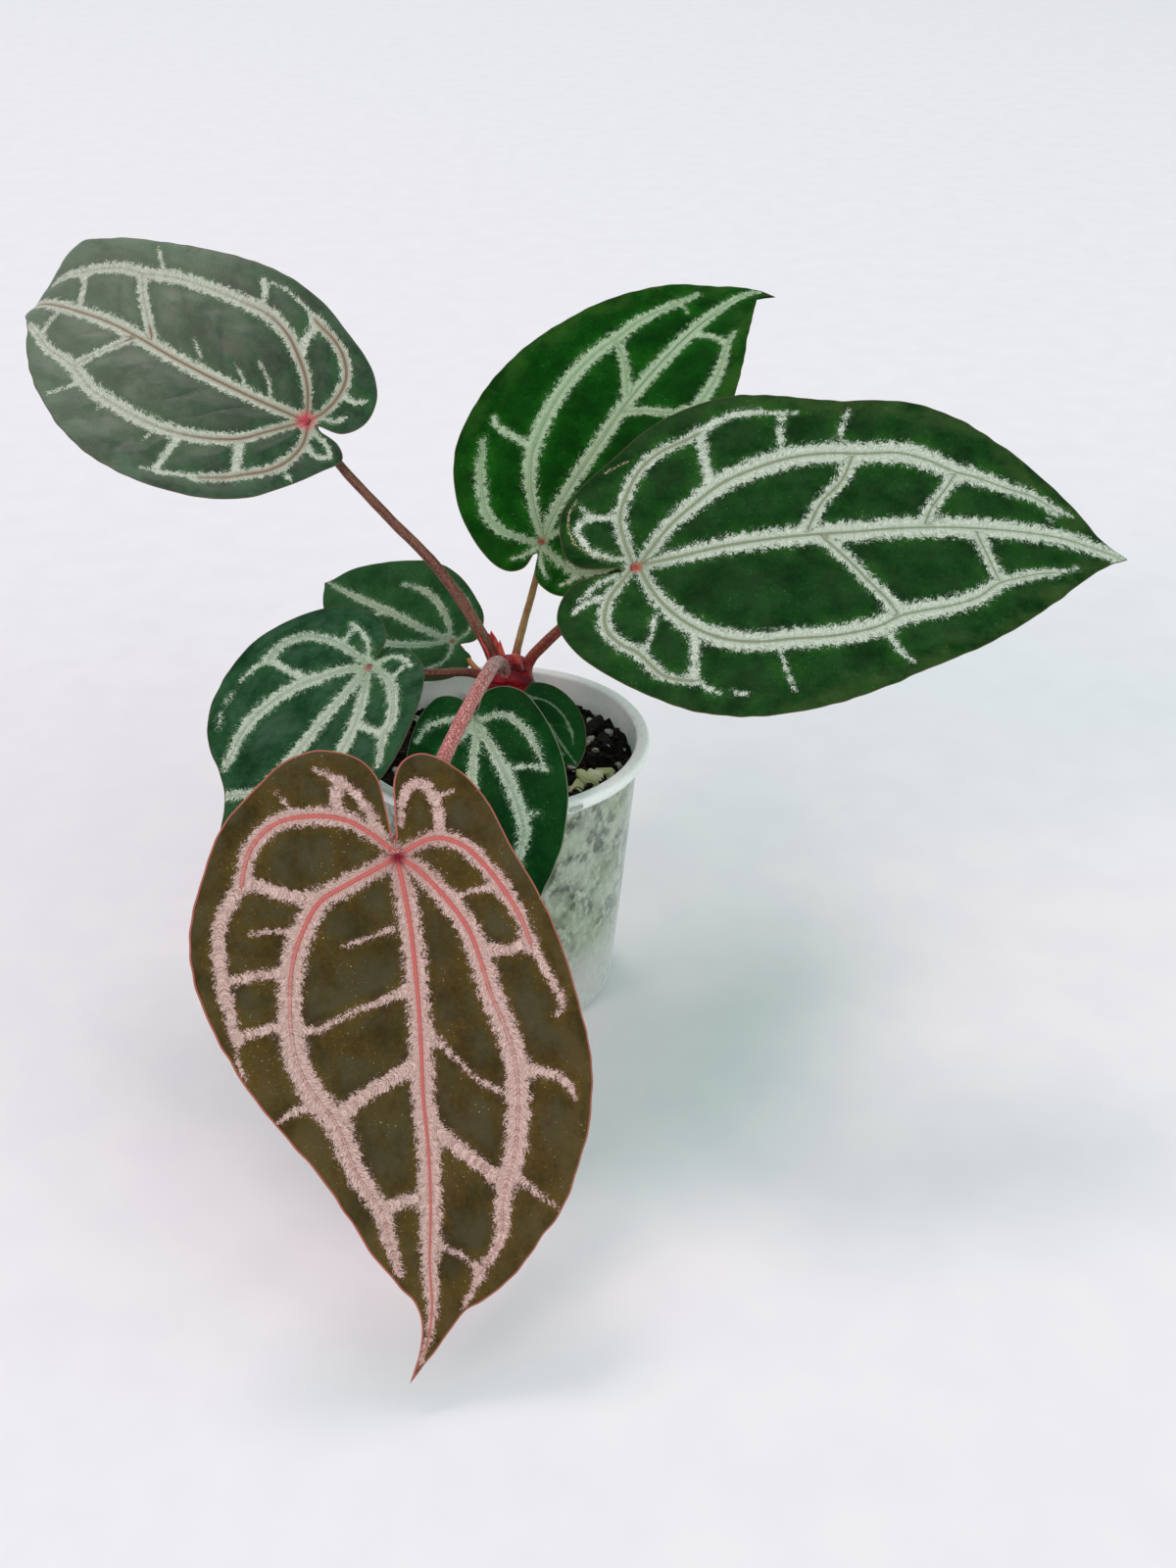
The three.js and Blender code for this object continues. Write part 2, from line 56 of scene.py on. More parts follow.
# Each leaf repeats the solid model's table: attachment, direction, bend, outline and stalk. Two stalks
# differ: the tallest starts inside the bract, and the youngest is slimmer. Outlines, veins and scars are
# "across,along" points on the flat blade, from its attachment, and stalks are "x,y,z" points. A vein has
# its half widths at the start, middle and end first. The main ones have a thin line along their middle.
LEAVES = {
    "left_high": {
        "at": [-54, 30, 172], "heading": 158, "pitch": 22, "roll": -38, "length": 107,
        "droop": 20, "fold": 8, "sweep": 0, "curl": 72, "wave": 0.5, "tip": [-5, 110],
        "right": "0.5,-4 2,-11 8,-15 16,-14 23,-8 29,4 33.5,16 35.5,30 34.5,44 32,57 29,69 26,80 22.5,89 "
                 "20,96 15,101 6,104 -1,106.5",
        "left": "-0.5,-4 -1.5,-12 -5,-15.5 -11,-13 -20,-8 -30,-1 -37,9 -41,22 -42.5,36 -41.5,48 -37.5,60 "
                "-31.5,71.5 -24.5,81.5 -17.5,88.5 -12.5,93 -9,98.5 -7,104",
        "stalk": "0.8,0,107 -2.8,1,116 -10,6,127 -18,12,136 -30,19,146 -45,27,160",
        "stalk_radius": [1.9, 1.25],
        "main": [
            (1.5, 2, 1.3, "0,0 -1.5,15 -2.2,30 -2,45 -1,58 -0.5,70 -1.5,84 -3,96 -5,107"),
            (0.8, 1.7, 1, "0,0 5,2.5 10,6 15,11.5 20,19 22.5,27 22.5,36 22,46 21,56 19.5,63 17.5,70 "
             "16.5,77 14,83 11,88 8,94 5,98"),
            (0.9, 1.9, 1, "0,0 -5,4 -10,8 -15,12 -19,18 -22,25 -24,33 -24.5,42 -24,51 -23,59 -20,66 "
             "-18,73 -17,80 -14,87 -12,92"),
            (1.2, 1.3, 1, "0,-1 -7,-3.5 -14,-3 -20,0 -24,4 -28,8 -32,14"),
            (1, 1.2, 1, "1,-1 5,-3 11,-4 17,-3 22,1 25,6 26.5,11 27.5,14"),
            (1.2, 1.2, 1.3, "1,55 6,60 11,65 17,69.5"),
            (1.2, 1.2, 1.4, "-2,60 -6,62.5 -12,66 -18,68.5"),
        ],
        "links": [
            (0.8, 0.8, 0.9, "0,82.5 5,84.5 11,88"),
            (0.9, 0.7, 0.8, "-3,87 -8,87.5 -14,86"),
            (0.9, 0.6, 0.3, "20,63 24,67 27,70"),
            (1, 0.8, 0.8, "22,30.5 27,31 31,34"),
            (1, 1, 1, "17,12 21,13 27,13"),
            (0.7, 0.4, 0.2, "27.5,14 30,20 31.5,26 31.5,32"),
            (0.8, 0.6, 0.4, "3,-3 4,-7 7,-9.5"),
            (0.9, 0.7, 0.5, "12,-4 12,-9 14,-12"),
            (0.8, 0.6, 0.3, "-23,63 -27,66 -31,69"),
            (0.7, 0.4, 0.2, "-24,52 -29,52.5"),
            (0.7, 0.4, 0.2, "-24,34 -30,35"),
            (1, 0.9, 0.7, "-23,27 -30,26.5 -36,26"),
            (1.1, 1, 1, "-15,12 -21,9 -26,6"),
            (0.9, 0.7, 0.3, "-32,14 -35,21 -37,27 -38,30"),
            (0.8, 0.7, 0.6, "-7,-4 -8,-9 -6,-12 -3,-8 -2,-3"),
            (0.8, 0.6, 0.3, "-17,-3 -19,-8"),
            (0.4, 0.3, 0.15, "-1,20 3,24 5,28"),
            (0.4, 0.3, 0.15, "0,12 5,16 9,22"),
            (0.4, 0.3, 0.15, "-1,36 3,39 6,43"),
        ],
    },
    "back_middle": {
        "at": [13, 25, 137], "heading": 64, "pitch": 32, "roll": 5, "length": 124,
        "droop": 15, "fold": 8, "sweep": 18, "curl": 12, "wave": 0.8, "tip": [8, 130.5],
        "right": "0.5,-4 3,-12 9,-16 15,-16.5 22,-13 29,-6 34,5 37,18 38,32 37,46 34,60 29.5,74 24,88 "
                 "17.5,101 12,112 7.5,120 4,126.5 3.5,129",
        "left": "-0.5,-4 -1.5,-10 -5,-12.5 -10,-12 -17,-8 -25,-1 -32,8 -38,20 -40.5,33 -41,46 -39,60 "
                "-35,74 -30,88 -24.5,99 -17,110 -9,118 -5,123.5 -1,129 2,131.5",
        "stalk": "5,2,106 6,5,111 8,12,117 10.5,19,124",
        "stalk_radius": [1.3, 0.95],
        "main": [
            (1.4, 2.2, 1, "0,0 -0.5,12 0,25 0.5,40 0,55 0,70 0,85 0,100 0.5,112 1,121 2,129"),
            (1, 2.2, 0.8, "0,1 -4,6 -9,13 -13,20 -16,27 -18,36 -19.5,46 -20,56 -19.5,66 -18.5,73 -17,80 "
             "-16,88 -14,95 -12,101 -10,107 -9,111"),
            (1, 1.9, 0.6, "0,1 5,6 11,13 15,20 18,28 20,38 20.5,48 20.5,56 21.5,64 21,72 19.5,80 17.5,86 "
             "15,92 13,97 12,102"),
            (1, 1.4, 0.7, "-1,-0.5 -8,-1 -13,-0.5 -19,3 -24,10 -28,17 -30,22 -32,26"),
            (0.9, 1.2, 0.7, "1,-1 5,-4 9,-6 15,-8 20,-7 26,-3 30,5 33,14"),
            (1.5, 1.2, 1.4, "-2,61 -6,67 -11,73 -16,77"),
            (1.9, 1.5, 1.6, "1,54 8,57 15,58.5 20,62"),
        ],
        "links": [
            (1.3, 1.1, 0.9, "2,95 8,96.5 13,95"),
            (0.7, 0.5, 0.2, "-12,103 -9,103 -6,101.5"),
            (1.3, 1, 0.7, "-16,29 -25,30.5 -31,32 -33,34"),
            (0.9, 0.7, 0.3, "-1,-3 -3,-6 -6,-8.5"),
            (0.7, 0.6, 0.3, "1.5,-4 4,-9 7,-12"),
            (1, 0.8, 0.3, "19,31 26,33 32,36"),
            (0.8, 0.7, 0.5, "15,-8 15,-11 12,-13"),
        ],
    },
    "right_large": {
        "at": [40, -5, 142], "heading": -3, "pitch": 9, "roll": 32, "length": 134,
        "droop": 15, "fold": 6, "sweep": 6, "curl": 8, "wave": 0.9, "tip": [-3, 136.5],
        "right": "0.5,-4 2.5,-17 8,-21.5 16,-22.5 26,-18 36,-8.5 44.5,2.5 51,14 54,27 53.5,39 50.5,52 "
                 "45,66 38.5,79 32,92 24,104 14,115.5 5,125 0,131.5",
        "left": "-0.5,-4 -2,-15 -6,-19.5 -14,-21 -21,-20 -28,-14 -36,-4 -44,6 -50,18 -53,31 -52,44 "
                "-49.5,57 -49,67 -48,77 -44,88 -37,99 -28,110 -17,121 -7,130",
        "stalk": "8,-1,107 10.5,-1,112 14,-2,116.5 22,-3,125 31,-3,133",
        "stalk_radius": [1.7, 1.4],
        "main": [
            (1.8, 2.8, 1.7, "-0.5,0 -2,12 -4,24 -5.2,36 -6,48 -6.5,60 -7.5,72 -8,84 -8,96 -7.5,108 "
             "-6.5,118 -4.5,127 -3,134"),
            (1.4, 3, 1, "0,1 6,3 13,6.5 20,12 25,18 28,24 29.5,32 29,42 28.5,52 27,60 25,66 22,71 20,78 "
             "18,86 15,93 10,99 8,104 6,110 5,115"),
            (1.4, 3, 1, "-1,1 -6,5 -12,10 -18,17 -24,25 -28,34 -31,44 -32,54 -31.5,64 -31.5,74 -29,82 "
             "-26,88 -24,95 -21,103 -19,110 -16,115"),
            (1.3, 1.6, 1, "0,-1 4,-4 8,-7 13,-9 20,-9 26,-5 29,-1 33,2 38,6 40,10 41,14"),
            (1.4, 1.5, 1, "-2,-1 -10,-3 -17,-3.5 -24,-1 -31,3 -36,9 -39,16 -41,20"),
            (2, 1.6, 2.4, "-5,52 2,58 10,63.5 17,68.5 21,70.5"),
            (1.8, 1.4, 1.9, "-8,48 -16,52 -23,58 -30,61"),
            (1.8, 1.4, 2, "-9,80 -14,82 -20,86 -25,89"),
            (2, 1.4, 1.5, "-7,94 0,96.5 8,99"),
        ],
        "links": [
            (0.9, 0.5, 0.2, "5,115 3.5,119 2.5,122"),
            (1.2, 0.7, 0.3, "26,66 29,68 33,70 37,73.5"),
            (0.9, 0.35, 0.3, "30,38 38,39 46,41"),
            (1.4, 1, 1, "24,15 31,15 40,14"),
            (1, 0.7, 0.3, "40,14 43,17 46,21"),
            (0.5, 0.5, 0.2, "46,25 47,29"),
            (0.9, 0.5, 0.6, "19,4 25,3 29,1"),
            (0.8, 0.7, 0.6, "2,-5 3,-9 6,-13 9,-16"),
            (0.9, 0.8, 0.5, "9,-9 10,-14 13,-18"),
            (0.8, 0.5, 0.2, "-15,117 -12,114.5"),
            (0.9, 0.5, 0.2, "-16,115 -14,121"),
            (1.1, 0.6, 0.4, "-32,57 -38,58 -46,61"),
            (1.1, 0.8, 0.6, "-30,42 -38,42 -46,43"),
            (0.5, 0.4, 0.2, "-46,43 -46,47"),
            (1.3, 1.1, 1.1, "-22,22 -33,21 -41,20"),
            (1.2, 0.9, 0.3, "-41,20 -45,26 -47,34 -46,42"),
            (1, 0.8, 0.8, "-17,-4 -17,-8 -18,-12"),
            (0.8, 0.8, 0.6, "-18,-12 -15,-16 -8,-13 -5,-9 -3,-3"),
            (0.5, 0.4, 0.2, "-18,-12 -22,-15"),
        ],
        "scars": [
            "-24,-15.5 -20,-18 -15,-18.5 -10,-17 -5.5,-12 -3.5,-7",
            "-31,-7 -33,-3 -34,0",
        ],
    },
    "small_back": {
        "at": [-14, 20, 107], "heading": 139, "pitch": 6, "roll": -30, "length": 60,
        "droop": 12, "fold": 8, "sweep": 0, "curl": 0, "wave": 0.3, "tip": [-1, 60],
        "right": "0.4,-3 4,-6.5 11,-4 16,4 19.5,14 20,25 17.5,33 13,43 7,53",
        "left": "-0.4,-3 -1.6,-9 -6,-11 -12,-8.5 -17.5,-1 -20,11 -20,24 -17,36 -12.5,46 -6.5,54.5",
        "stalk": "-1,2,103 -5,5,104 -8,11,104",
        "stalk_radius": [1, 0.8],
        "main": [
            (0.8, 1.1, 0.5, "0,0 -1,10 -1,24 -1.2,38 -1,50 -0.5,58"),
            (0.6, 0.9, 0.4, "0,1 4,5 8,12 10,19 10,25 9,30"),
            (0.8, 1.2, 0.5, "0,1 -4,5 -8,11 -11,18 -12,27 -10,36 -8,42"),
            (0.5, 0.5, 0.2, "0,-0.5 -6,-3 -12,-1 -16,6 -17,14"),
            (0.5, 0.4, 0.2, "0,-0.5 5,-2.5 10,0 14,7 16,15"),
        ],
        "links": [
            (0.8, 0.6, 0.5, "-1,28 -5,32 -9,38"),
            (0.7, 0.4, 0.2, "-11,20 -16,22"),
        ],
    },
    "left_low": {
        "at": [-35, -15, 116], "heading": 231, "pitch": -22, "roll": -8, "length": 66,
        "droop": 18, "fold": 8, "sweep": 10, "curl": 25, "wave": 0.5, "tip": [-2, 66],
        "right": "0.5,-4 2.5,-11 8,-15.5 14,-16 21,-13 27,-6 31,5 32.5,17 31.5,29 28,38 21.5,45 13,49.5 "
                 "6,54",
        "left": "-0.5,-4 -1.5,-9.5 -5,-11 -10,-10 -15.5,-7 -21.5,1 -26.5,11 -30,22 -31,33 -27.5,42 -21,50 "
                "-13,56 -6,61",
        "stalk": "-1,-1,105 -7,-3,108 -19,-9,111",
        "stalk_radius": [1.4, 1.1],
        "main": [
            (1.2, 1.7, 0.8, "0,0 -0.5,10 -1,20 -2,32 -2,45 -2,58 -2,64"),
            (1, 1.8, 0.9, "0,0 5,4 9,10 12,15 14.5,22 16,30 15.5,37 13.5,43 12,48"),
            (1, 1.7, 0.9, "0,0 -4,6 -8,12 -11,18 -13.5,25 -15,34 -14,43 -10,51"),
            (1, 1.3, 1.2, "0,-1 5,-1.5 11,-2 17,-1 22,2 25,7 25,14"),
            (1, 1.4, 0.6, "0,-1 -6,0 -12,3 -17,8 -20,12 -21,16 -24,20 -27,24"),
            (1.3, 1.1, 1, "-1,48 3,51 6,54"),
        ],
        "links": [
            (1.2, 1, 1, "13,13 19,14 25,14"),
            (1, 0.6, 0.3, "25,14 26.5,19 27,25"),
            (0.4, 0.5, 0.3, "26.5,29 26,33"),
            (0.3, 0.5, 0.3, "25,36 22,40"),
            (0.9, 0.7, 0.6, "2,-2 5,-6 10,-9 14,-9.5"),
            (0.6, 0.5, 0.4, "12,-3 12.5,-9"),
            (1.2, 0.9, 1, "-11,17 -16,16.5 -21,16"),
            (0.8, 0.7, 0.5, "-1.5,-2 -3,-6 -7,-7.5 -11,-6"),
            (0.6, 0.5, 0.4, "-9,-1 -9.5,-6"),
        ],
    },
    "front_low": {
        "at": [-4, -28, 106], "heading": 283, "pitch": -38, "roll": 0, "length": 66,
        "droop": 16, "fold": 8, "sweep": 0, "curl": 20, "wave": 0.5, "tip": [0, 66],
        "right": "0.5,-3 3.5,-7.5 9,-8.5 14,-5 19,3 22,12 22.5,22 21.5,32 18.5,41 13.5,50 7,59",
        "left": "-0.5,-3 -3.5,-8.5 -9,-9.5 -14,-7 -18,0 -21,10 -22,20 -20.5,30 -17,40 -12,48.5 -6,57.5",
        "stalk": "2.5,-4,99 0,-10,101 -3,-18,103",
        "stalk_radius": [1.2, 0.95],
        "main": [
            (0.9, 1.2, 0.6, "0,0 2,8 4,17 4.5,30 3.5,44 1,60"),
            (0.8, 1.5, 0.8, "0,1 -2,6 -4,12 -6,19 -7.5,26 -8,33 -6,39 -4,44"),
            (0.8, 1.2, 0.5, "1,1 8,6 13,14 16,24 16,36 12,47"),
            (0.7, 0.9, 0.4, "-1,0 -7,-1 -11,2 -14,7 -15.5,12 -16,16"),
            (0.6, 0.7, 0.3, "1,-1 8,-1 14,0.5 18,5"),
        ],
        "links": [
            (0.8, 0.5, 0.3, "-6,15.5 -11,15 -17,17"),
            (0.6, 0.4, 0.2, "-8,28 -13,29"),
            (0.8, 0.7, 0.5, "4,34 -1,38 -5,42"),
            (0.6, 0.5, 0.3, "15,22 19,23"),
        ],
    },
    "small_front": {
        "at": [9, -12, 106], "heading": 306, "pitch": -20, "roll": 10, "length": 28,
        "droop": 10, "fold": 8, "sweep": 0, "curl": 0, "wave": 0.2, "tip": [0.5, 28],
        "right": "0.3,-1.5 4,-2.5 8,1.5 10,9 9.5,16 7,21.5 3.5,25.5",
        "left": "-0.3,-1.5 -4,-2.5 -8,1.5 -10,8.5 -9.5,15 -7.5,20 -4,25",
        "stalk": "6,-3,100 7.5,-7,102",
        "stalk_radius": [0.9, 0.75],
        "main": [
            (0.35, 0.4, 0.2, "0,0 0.3,9 0.5,18 0.5,27"),
            (0.25, 0.3, 0.15, "0,1 3.5,5 5,11 4,18 2,23"),
            (0.25, 0.3, 0.15, "0,1 -3.5,5 -5,11 -4,18 -2,22"),
        ],
        "links": [
            (0.25, 0.2, 0.1, "0.4,14 3,17 4,19"),
            (0.25, 0.2, 0.1, "0.4,12 -3,15 -4,18"),
        ],
    },
    "new_front": {
        "at": [-20, -95, 105], "heading": 283, "pitch": -45, "roll": 0, "length": 125,
        "droop": 14, "fold": 6, "sweep": 5, "curl": 0, "wave": 0.6, "tip": [7.5, 125],
        "right": "0.4,-4 1.1,-14 2.2,-21 6,-26 12,-28.5 18,-29 25,-26.5 33,-20 41,-12 47,0 51,12 51.5,24 "
                 "48.5,36 43,49 35,62 27,73 20.5,84 15,94 9,102 5.6,106.5 4.2,111 4.8,117.5",
        "left": "-0.4,-4 -1.1,-13 -2,-20 -5,-24.5 -10,-25.5 -18,-20 -24,-11 -28,1 -33,13 -37,26 -39.5,40 "
                "-41,53 -39.5,66 -35,79 -30,88.5 -25,94 -19,101 -12,106.5 -6,109.5 -2.5,113.5 2,119",
        "stalk": "3,-2,106 2,-6,112 0.5,-15,117 -1.5,-30,120 -5,-48,120.5 -9,-64,118 -14,-79,112",
        "stalk_radius": [2.1, 1.85],
        "main": [
            (2.2, 2.2, 0.4, "0,0 -1,15 -1,30 -0.5,45 0.2,58 0,70 0.5,85 1.5,97 1.5,108 3,116 5,121"),
            (1.7, 2.4, 0.8, "0,0 6,2.5 13,5.5 20,9 25,16 28,23 29.5,31 30,40 29,48 26,55 22,61 20,66 "
             "18,73 15,79 12,84 11,90 9.5,96 8.5,99"),
            (1.7, 2.3, 0.6, "0,0 -4,3 -8,8 -12,14 -15,20 -17,28 -18.5,36 -21,44 -22.5,52 -22.5,60 "
             "-21.5,68 -20,75 -18,80 -16.5,86 -16,92 -13,97 -10,101"),
            (1.1, 1.7, 1.1, "1,-2 6,-7 12,-11 20,-12.5 28,-11.5 34,-7 37,-1 38,3"),
            (1.1, 1.5, 1, "0,0 -5,-2.5 -10,-3.5 -16,-1 -21,5 -25,12 -28,19 -29.5,25"),
        ],
        "links": [
            (1.7, 1.3, 1.8, "0,50 7,53 14,56.5 21,61"),
            (1.5, 1.2, 1.5, "-2,66 -7,71 -12,75.5 -17,79.5"),
            (1, 0.6, 0.3, "-10,101 -8,105 -5.5,108.5"),
            (1.1, 0.6, 0.9, "2,33 8,34.5 15,36.5 23,39.5 28,40"),
            (1.2, 1.1, 1.2, "1,82 6,82 12,83.5"),
            (0.8, 0.4, 0.2, "4,17.5 9,19 16,20.5"),
            (1.3, 1.2, 0.8, "38,3 42,8 44.5,14 45,22 44.5,30 43.5,36 42.5,40"),
            (0.7, 0.4, 0.3, "42.5,40 43,45 41,50"),
            (1.5, 1.2, 1.1, "20,8 27,7 33,4 37,2.5"),
            (1.5, 0.9, 0.9, "28,24 31,25 38,25.5 44,26"),
            (1.6, 0.9, 0.8, "29,38 37,38.5 43,39.5"),
            (0.9, 0.5, 0.3, "27,16 31,15 37,15"),
            (1.6, 0.8, 0.3, "22,61 24,60 29,58 35,60.5"),
            (1.2, 0.9, 0.5, "3,-5 5,-11 8,-17 12,-21 17,-24"),
            (1.3, 1, 0.8, "13,-12 13,-17 12,-21"),
            (0.7, 0.5, 0.3, "24,-14 27,-19"),
            (1.1, 0.5, 0.7, "-2,43 -5,46 -10,52 -15,57 -20,59.5"),
            (0.9, 0.6, 0.8, "-1,93.5 -6,96 -10,99.5"),
            (1, 0.6, 0.3, "-20,79 -25,83 -30,87"),
            (1.3, 0.9, 0.5, "-24,54 -29,55.5 -34,58 -36,62"),
            (1.3, 1, 1.1, "-18,25 -24,26 -29,24.5"),
            (0.8, 0.6, 0.8, "-11,12.5 -16,11 -20,10.5 -24,11"),
            (1.1, 0.8, 0.4, "-29.5,25 -32,31 -35,38 -35,42 -33,42.5"),
            (1.1, 1, 0.6, "-11,-4 -11.5,-9 -11,-14 -8,-18 -5,-17 -3,-13 -2,-8"),
            (0.6, 0.4, 0.2, "-12,-14 -16,-14.5"),
        ],
    },
}

# Colours as seen on the plant, with painted sheen and painted crease shade on the leaves, and how strongly
# each leaf's surface is quilted, shines and feathers
DARK_LEAF = {
    "ground": ["#08280c", "#134214"], "lively": "#2c5e1c", "painted_sheen_colour": "#3a5834", "grey": 0.22,
    "painted_sheen_at_hub": 1.0, "tip_painted_sheen": 0.0, "haze": 0.3, "pale": ["#839781", "#dde5d7"], "band": 0.3,
    "feather": 1.0, "line": "#848c68", "line_width": 0.36, "line_strength": 0.8, "line_reach": 400,
    "halo": "#8d9f8a", "halo_share": 0.5, "hub": "#b04a42", "hub_size": 2.2, "margin": "#5a4c38",
    "margin_width": 0.28, "quilt": 0.7, "pucker": 0.1, "pleats": 0.15, "crease_shade": 0.3, "rough": 0.6,
    "specular": 0.04, "under": "#5d7a4c", "specks": 0.25, "margin_tone_and_sheen": "#44592c", "margin_tone_and_sheen_share": 0.45,
}
LOOKS = {
    "left_high": {
        "ground": ["#0b2710", "#20432a"], "lively": "#1a5a14", "painted_sheen_colour": "#7c8874", "grey": 0.5,
        "painted_sheen_at_hub": 0.3, "tip_painted_sheen": 0.5, "margin_tone_and_sheen": "#3f6a52", "margin_tone_and_sheen_share": 0.6,
        "pale": ["#88947f", "#d2d9ca"], "band": 0.45, "feather": 0.75, "line": "#74604c", "line_width": 0.3,
        "line_reach": 50, "halo": "#948470", "halo_share": 0.75, "hub": "#cc3c50", "hub_size": 3.4,
        "quilt": 1.5, "pucker": 0.5, "pleats": 1.0, "crease_shade": 0.7, "rough": 0.4, "specular": 0.25,
    },
    "back_middle": {
        "ground": ["#052c06", "#0a460a"], "lively": "#1c6010", "painted_sheen_colour": "#1f5a1c", "grey": 0.15,
        "specular": 0.015, "margin_tone_and_sheen": "#3e6426", "pale": ["#7e9c74", "#bccfb2"], "halo": "#7e9c74",
        "band": 0.2, "line": "#8ea680", "feather": 0.95, "hub": "#8e4a3a", "hub_size": 1.9,
        "line_strength": 0.4,
    },
    "right_large": {},
    "small_back": {
        "ground": ["#153c1b", "#2c5832"], "lively": "#285c2a", "margin_tone_and_sheen": "#2c5832",
        "pale": ["#78957a", "#b4c6ac"], "feather": 0.7, "haze": 0.6, "line_strength": 0.1,
        "halo_share": 0.15, "hub": "#8a5a40", "hub_size": 1.3,
    },
    "left_low": {
        "ground": ["#0f321a", "#264c30"], "lively": "#24562a", "margin_tone_and_sheen": "#2a5830",
        "painted_sheen_colour": "#4a6a54", "grey": 0.5, "halo_share": 0.2, "pale": ["#86a083", "#d2dccb"],
        "band": 0.2, "feather": 0.8, "haze": 0.6, "line_strength": 0.15, "hub": "#a0685a", "hub_size": 1.6,
    },
    "front_low": {
        "ground": ["#04280c", "#0a4018"], "lively": "#164c1e", "margin_tone_and_sheen": "#12501e", "grey": 0.15,
        "pale": ["#84a080", "#e2ebda"], "feather": 0.8, "haze": 0.5, "line_strength": 0.15,
        "halo_share": 0.2, "hub": "#7d9a78", "hub_size": 1.0, "margin": "#8c8a74",
    },
    "small_front": {
        "ground": ["#052c0f", "#0c3f18"], "lively": "#16481c", "margin_tone_and_sheen": "#12501e", "grey": 0.15,
        "pale": ["#1c4c1e", "#315f2c"], "band": 0.0, "feather": 0.25, "line_strength": 0.0,
        "hub": "#315f2c", "hub_size": 0.7,
    },
    "new_front": {
        "ground": ["#33290b", "#503d16"], "lively": "#58480e", "painted_sheen_colour": "#4c4834", "grey": 0.7,
        "pale": ["#8c655f", "#e6c8c1"], "band": 0.5, "feather": 0.85, "line": "#cc6460",
        "line_width": 0.48, "line_strength": 0.9, "line_reach": 56, "halo": "#b87c74", "hub": "#7c1230",
        "hub_size": 2.6, "margin": "#b8695e", "margin_width": 0.42, "quilt": 0.9, "pucker": 0.12,
        "pleats": 0.2, "rough": 0.42, "specular": 0.1, "under": "#9a6a58", "specks": 0.7,
        "margin_tone_and_sheen": "#664e1c",
    },
}
STALK_COLOURS = {
    "left_high": ["#4a2018", "#6b4030"], "back_middle": ["#7a5530", "#8f7a48"],
    "right_large": ["#5c1a16", "#7a3a2c"], "small_back": ["#8a5520", "#b07a35"],
    "left_low": ["#5a241c", "#744436"], "front_low": ["#6a3a26", "#7d5a38"],
    "small_front": ["#6a3a26", "#7d5a38"], "new_front": ["#62443f", "#84625c"],
}


# Shader nodes

def colour_of(text):
    """The linear colour of an sRGB hex code."""
    channels = [int(text[i:i + 2], 16) / 255 for i in (1, 3, 5)]
    linear = [c / 12.92 if c < 0.04045 else ((c + 0.055) / 1.055) ** 2.4 for c in channels]
    return (*linear, 1)


class Value:
    """What a shader node gives at each place of a surface, to be used in sums."""

    def __init__(self, shader, socket):
        self.shader = shader
        self.socket = socket

    def __add__(self, other):
        return self.shader.maths("ADD", self, other)

    def __sub__(self, other):
        return self.shader.maths("SUBTRACT", self, other)

    def __rsub__(self, other):
        return self.shader.maths("SUBTRACT", other, self)

    def __mul__(self, other):
        return self.shader.maths("MULTIPLY", self, other)

    def __truediv__(self, other):
        return self.shader.maths("DIVIDE", self, other)

    def __abs__(self):
        return self.shader.maths("ABSOLUTE", self)

    def step(self, low, high, start=0.0, end=1.0):
        """Rises smoothly from start to end as the value goes from low to high."""
        settings = {"interpolation_type": "SMOOTHSTEP"}
        return self.shader.value("MapRange", settings, self, low, high, start, end)


class Shader:
    """A material with one Principled shader, and short ways to add the nodes that drive it."""

    def __init__(self, name, **settings):
        self.material = bpy.data.materials.new(name)
        self.material.use_nodes = True
        self.tree = self.material.node_tree
        self.set(**settings)

    def set(self, **settings):
        """Sets or links inputs of the Principled shader, and returns the material."""
        for socket, value in settings.items():
            self.connect(value, self.tree.nodes["Principled BSDF"].inputs[socket.replace("_", " ")])
        return self.material

    def connect(self, value, socket):
        if isinstance(value, Value):
            self.tree.links.new(value.socket, socket)
        else:
            socket.default_value = colour_of(value) if isinstance(value, str) else value

    def node(self, kind, settings, *inputs):
        """Adds a node, with its inputs in order. None leaves an input as it is."""
        node = self.tree.nodes.new("ShaderNode" + kind)
        for key, value in settings.items():
            setattr(node, key, value)
        for index, value in enumerate(inputs):
            if value is not None:
                self.connect(value, node.inputs[index])
        return node

    def value(self, kind, settings, *inputs, output=0):
        return Value(self, self.node(kind, settings, *inputs).outputs[output])

    def attribute(self, name):
        """The three numbers of one of the mesh's attributes."""
        return self.parts(self.value("Attribute", {"attribute_name": name}, output="Vector"))

    def place(self):
        """The place in the object's own frame, in millimetres."""
        return self.stretch(self.value("TexCoord", {}, output="Object"), 1000, 1000, 1000)

    def parts(self, vector):
        return [Value(self, socket) for socket in self.node("SeparateXYZ", {}, vector).outputs]

    def together(self, x, y, z=0.0):
        return self.value("CombineXYZ", {}, x, y, z)

    def stretch(self, vector, x, y, z=1):
        return self.value("VectorMath", {"operation": "MULTIPLY"}, vector, (x, y, z))

    def length(self, vector):
        return self.value("VectorMath", {"operation": "LENGTH"}, vector, output="Value")

    def maths(self, operation, a, b=0.0):
        return self.value("Math", {"operation": operation}, a, b)

    def mix(self, share, a, b):
        return self.value("Mix", {"data_type": "RGBA"}, share, *[None] * 5, a, b, output=2)

    def noise(self, vector, scale, detail=2.0, roughness=0.5):
        return self.value("TexNoise", {}, vector, None, scale, detail, roughness)

    def cells(self, vector, scale):
        return self.value("TexVoronoi", {}, vector, None, scale)

    def bump(self, height, depth, strength, under=None):
        """Relief from a height of 0 to 1, as deep as depth in metres."""
        node = self.node("Bump", {}, strength, depth)
        self.connect(height, node.inputs["Height"])
        if under is not None:
            self.connect(under, node.inputs["Normal"])
        return Value(self, node.outputs[0])


# Meshes

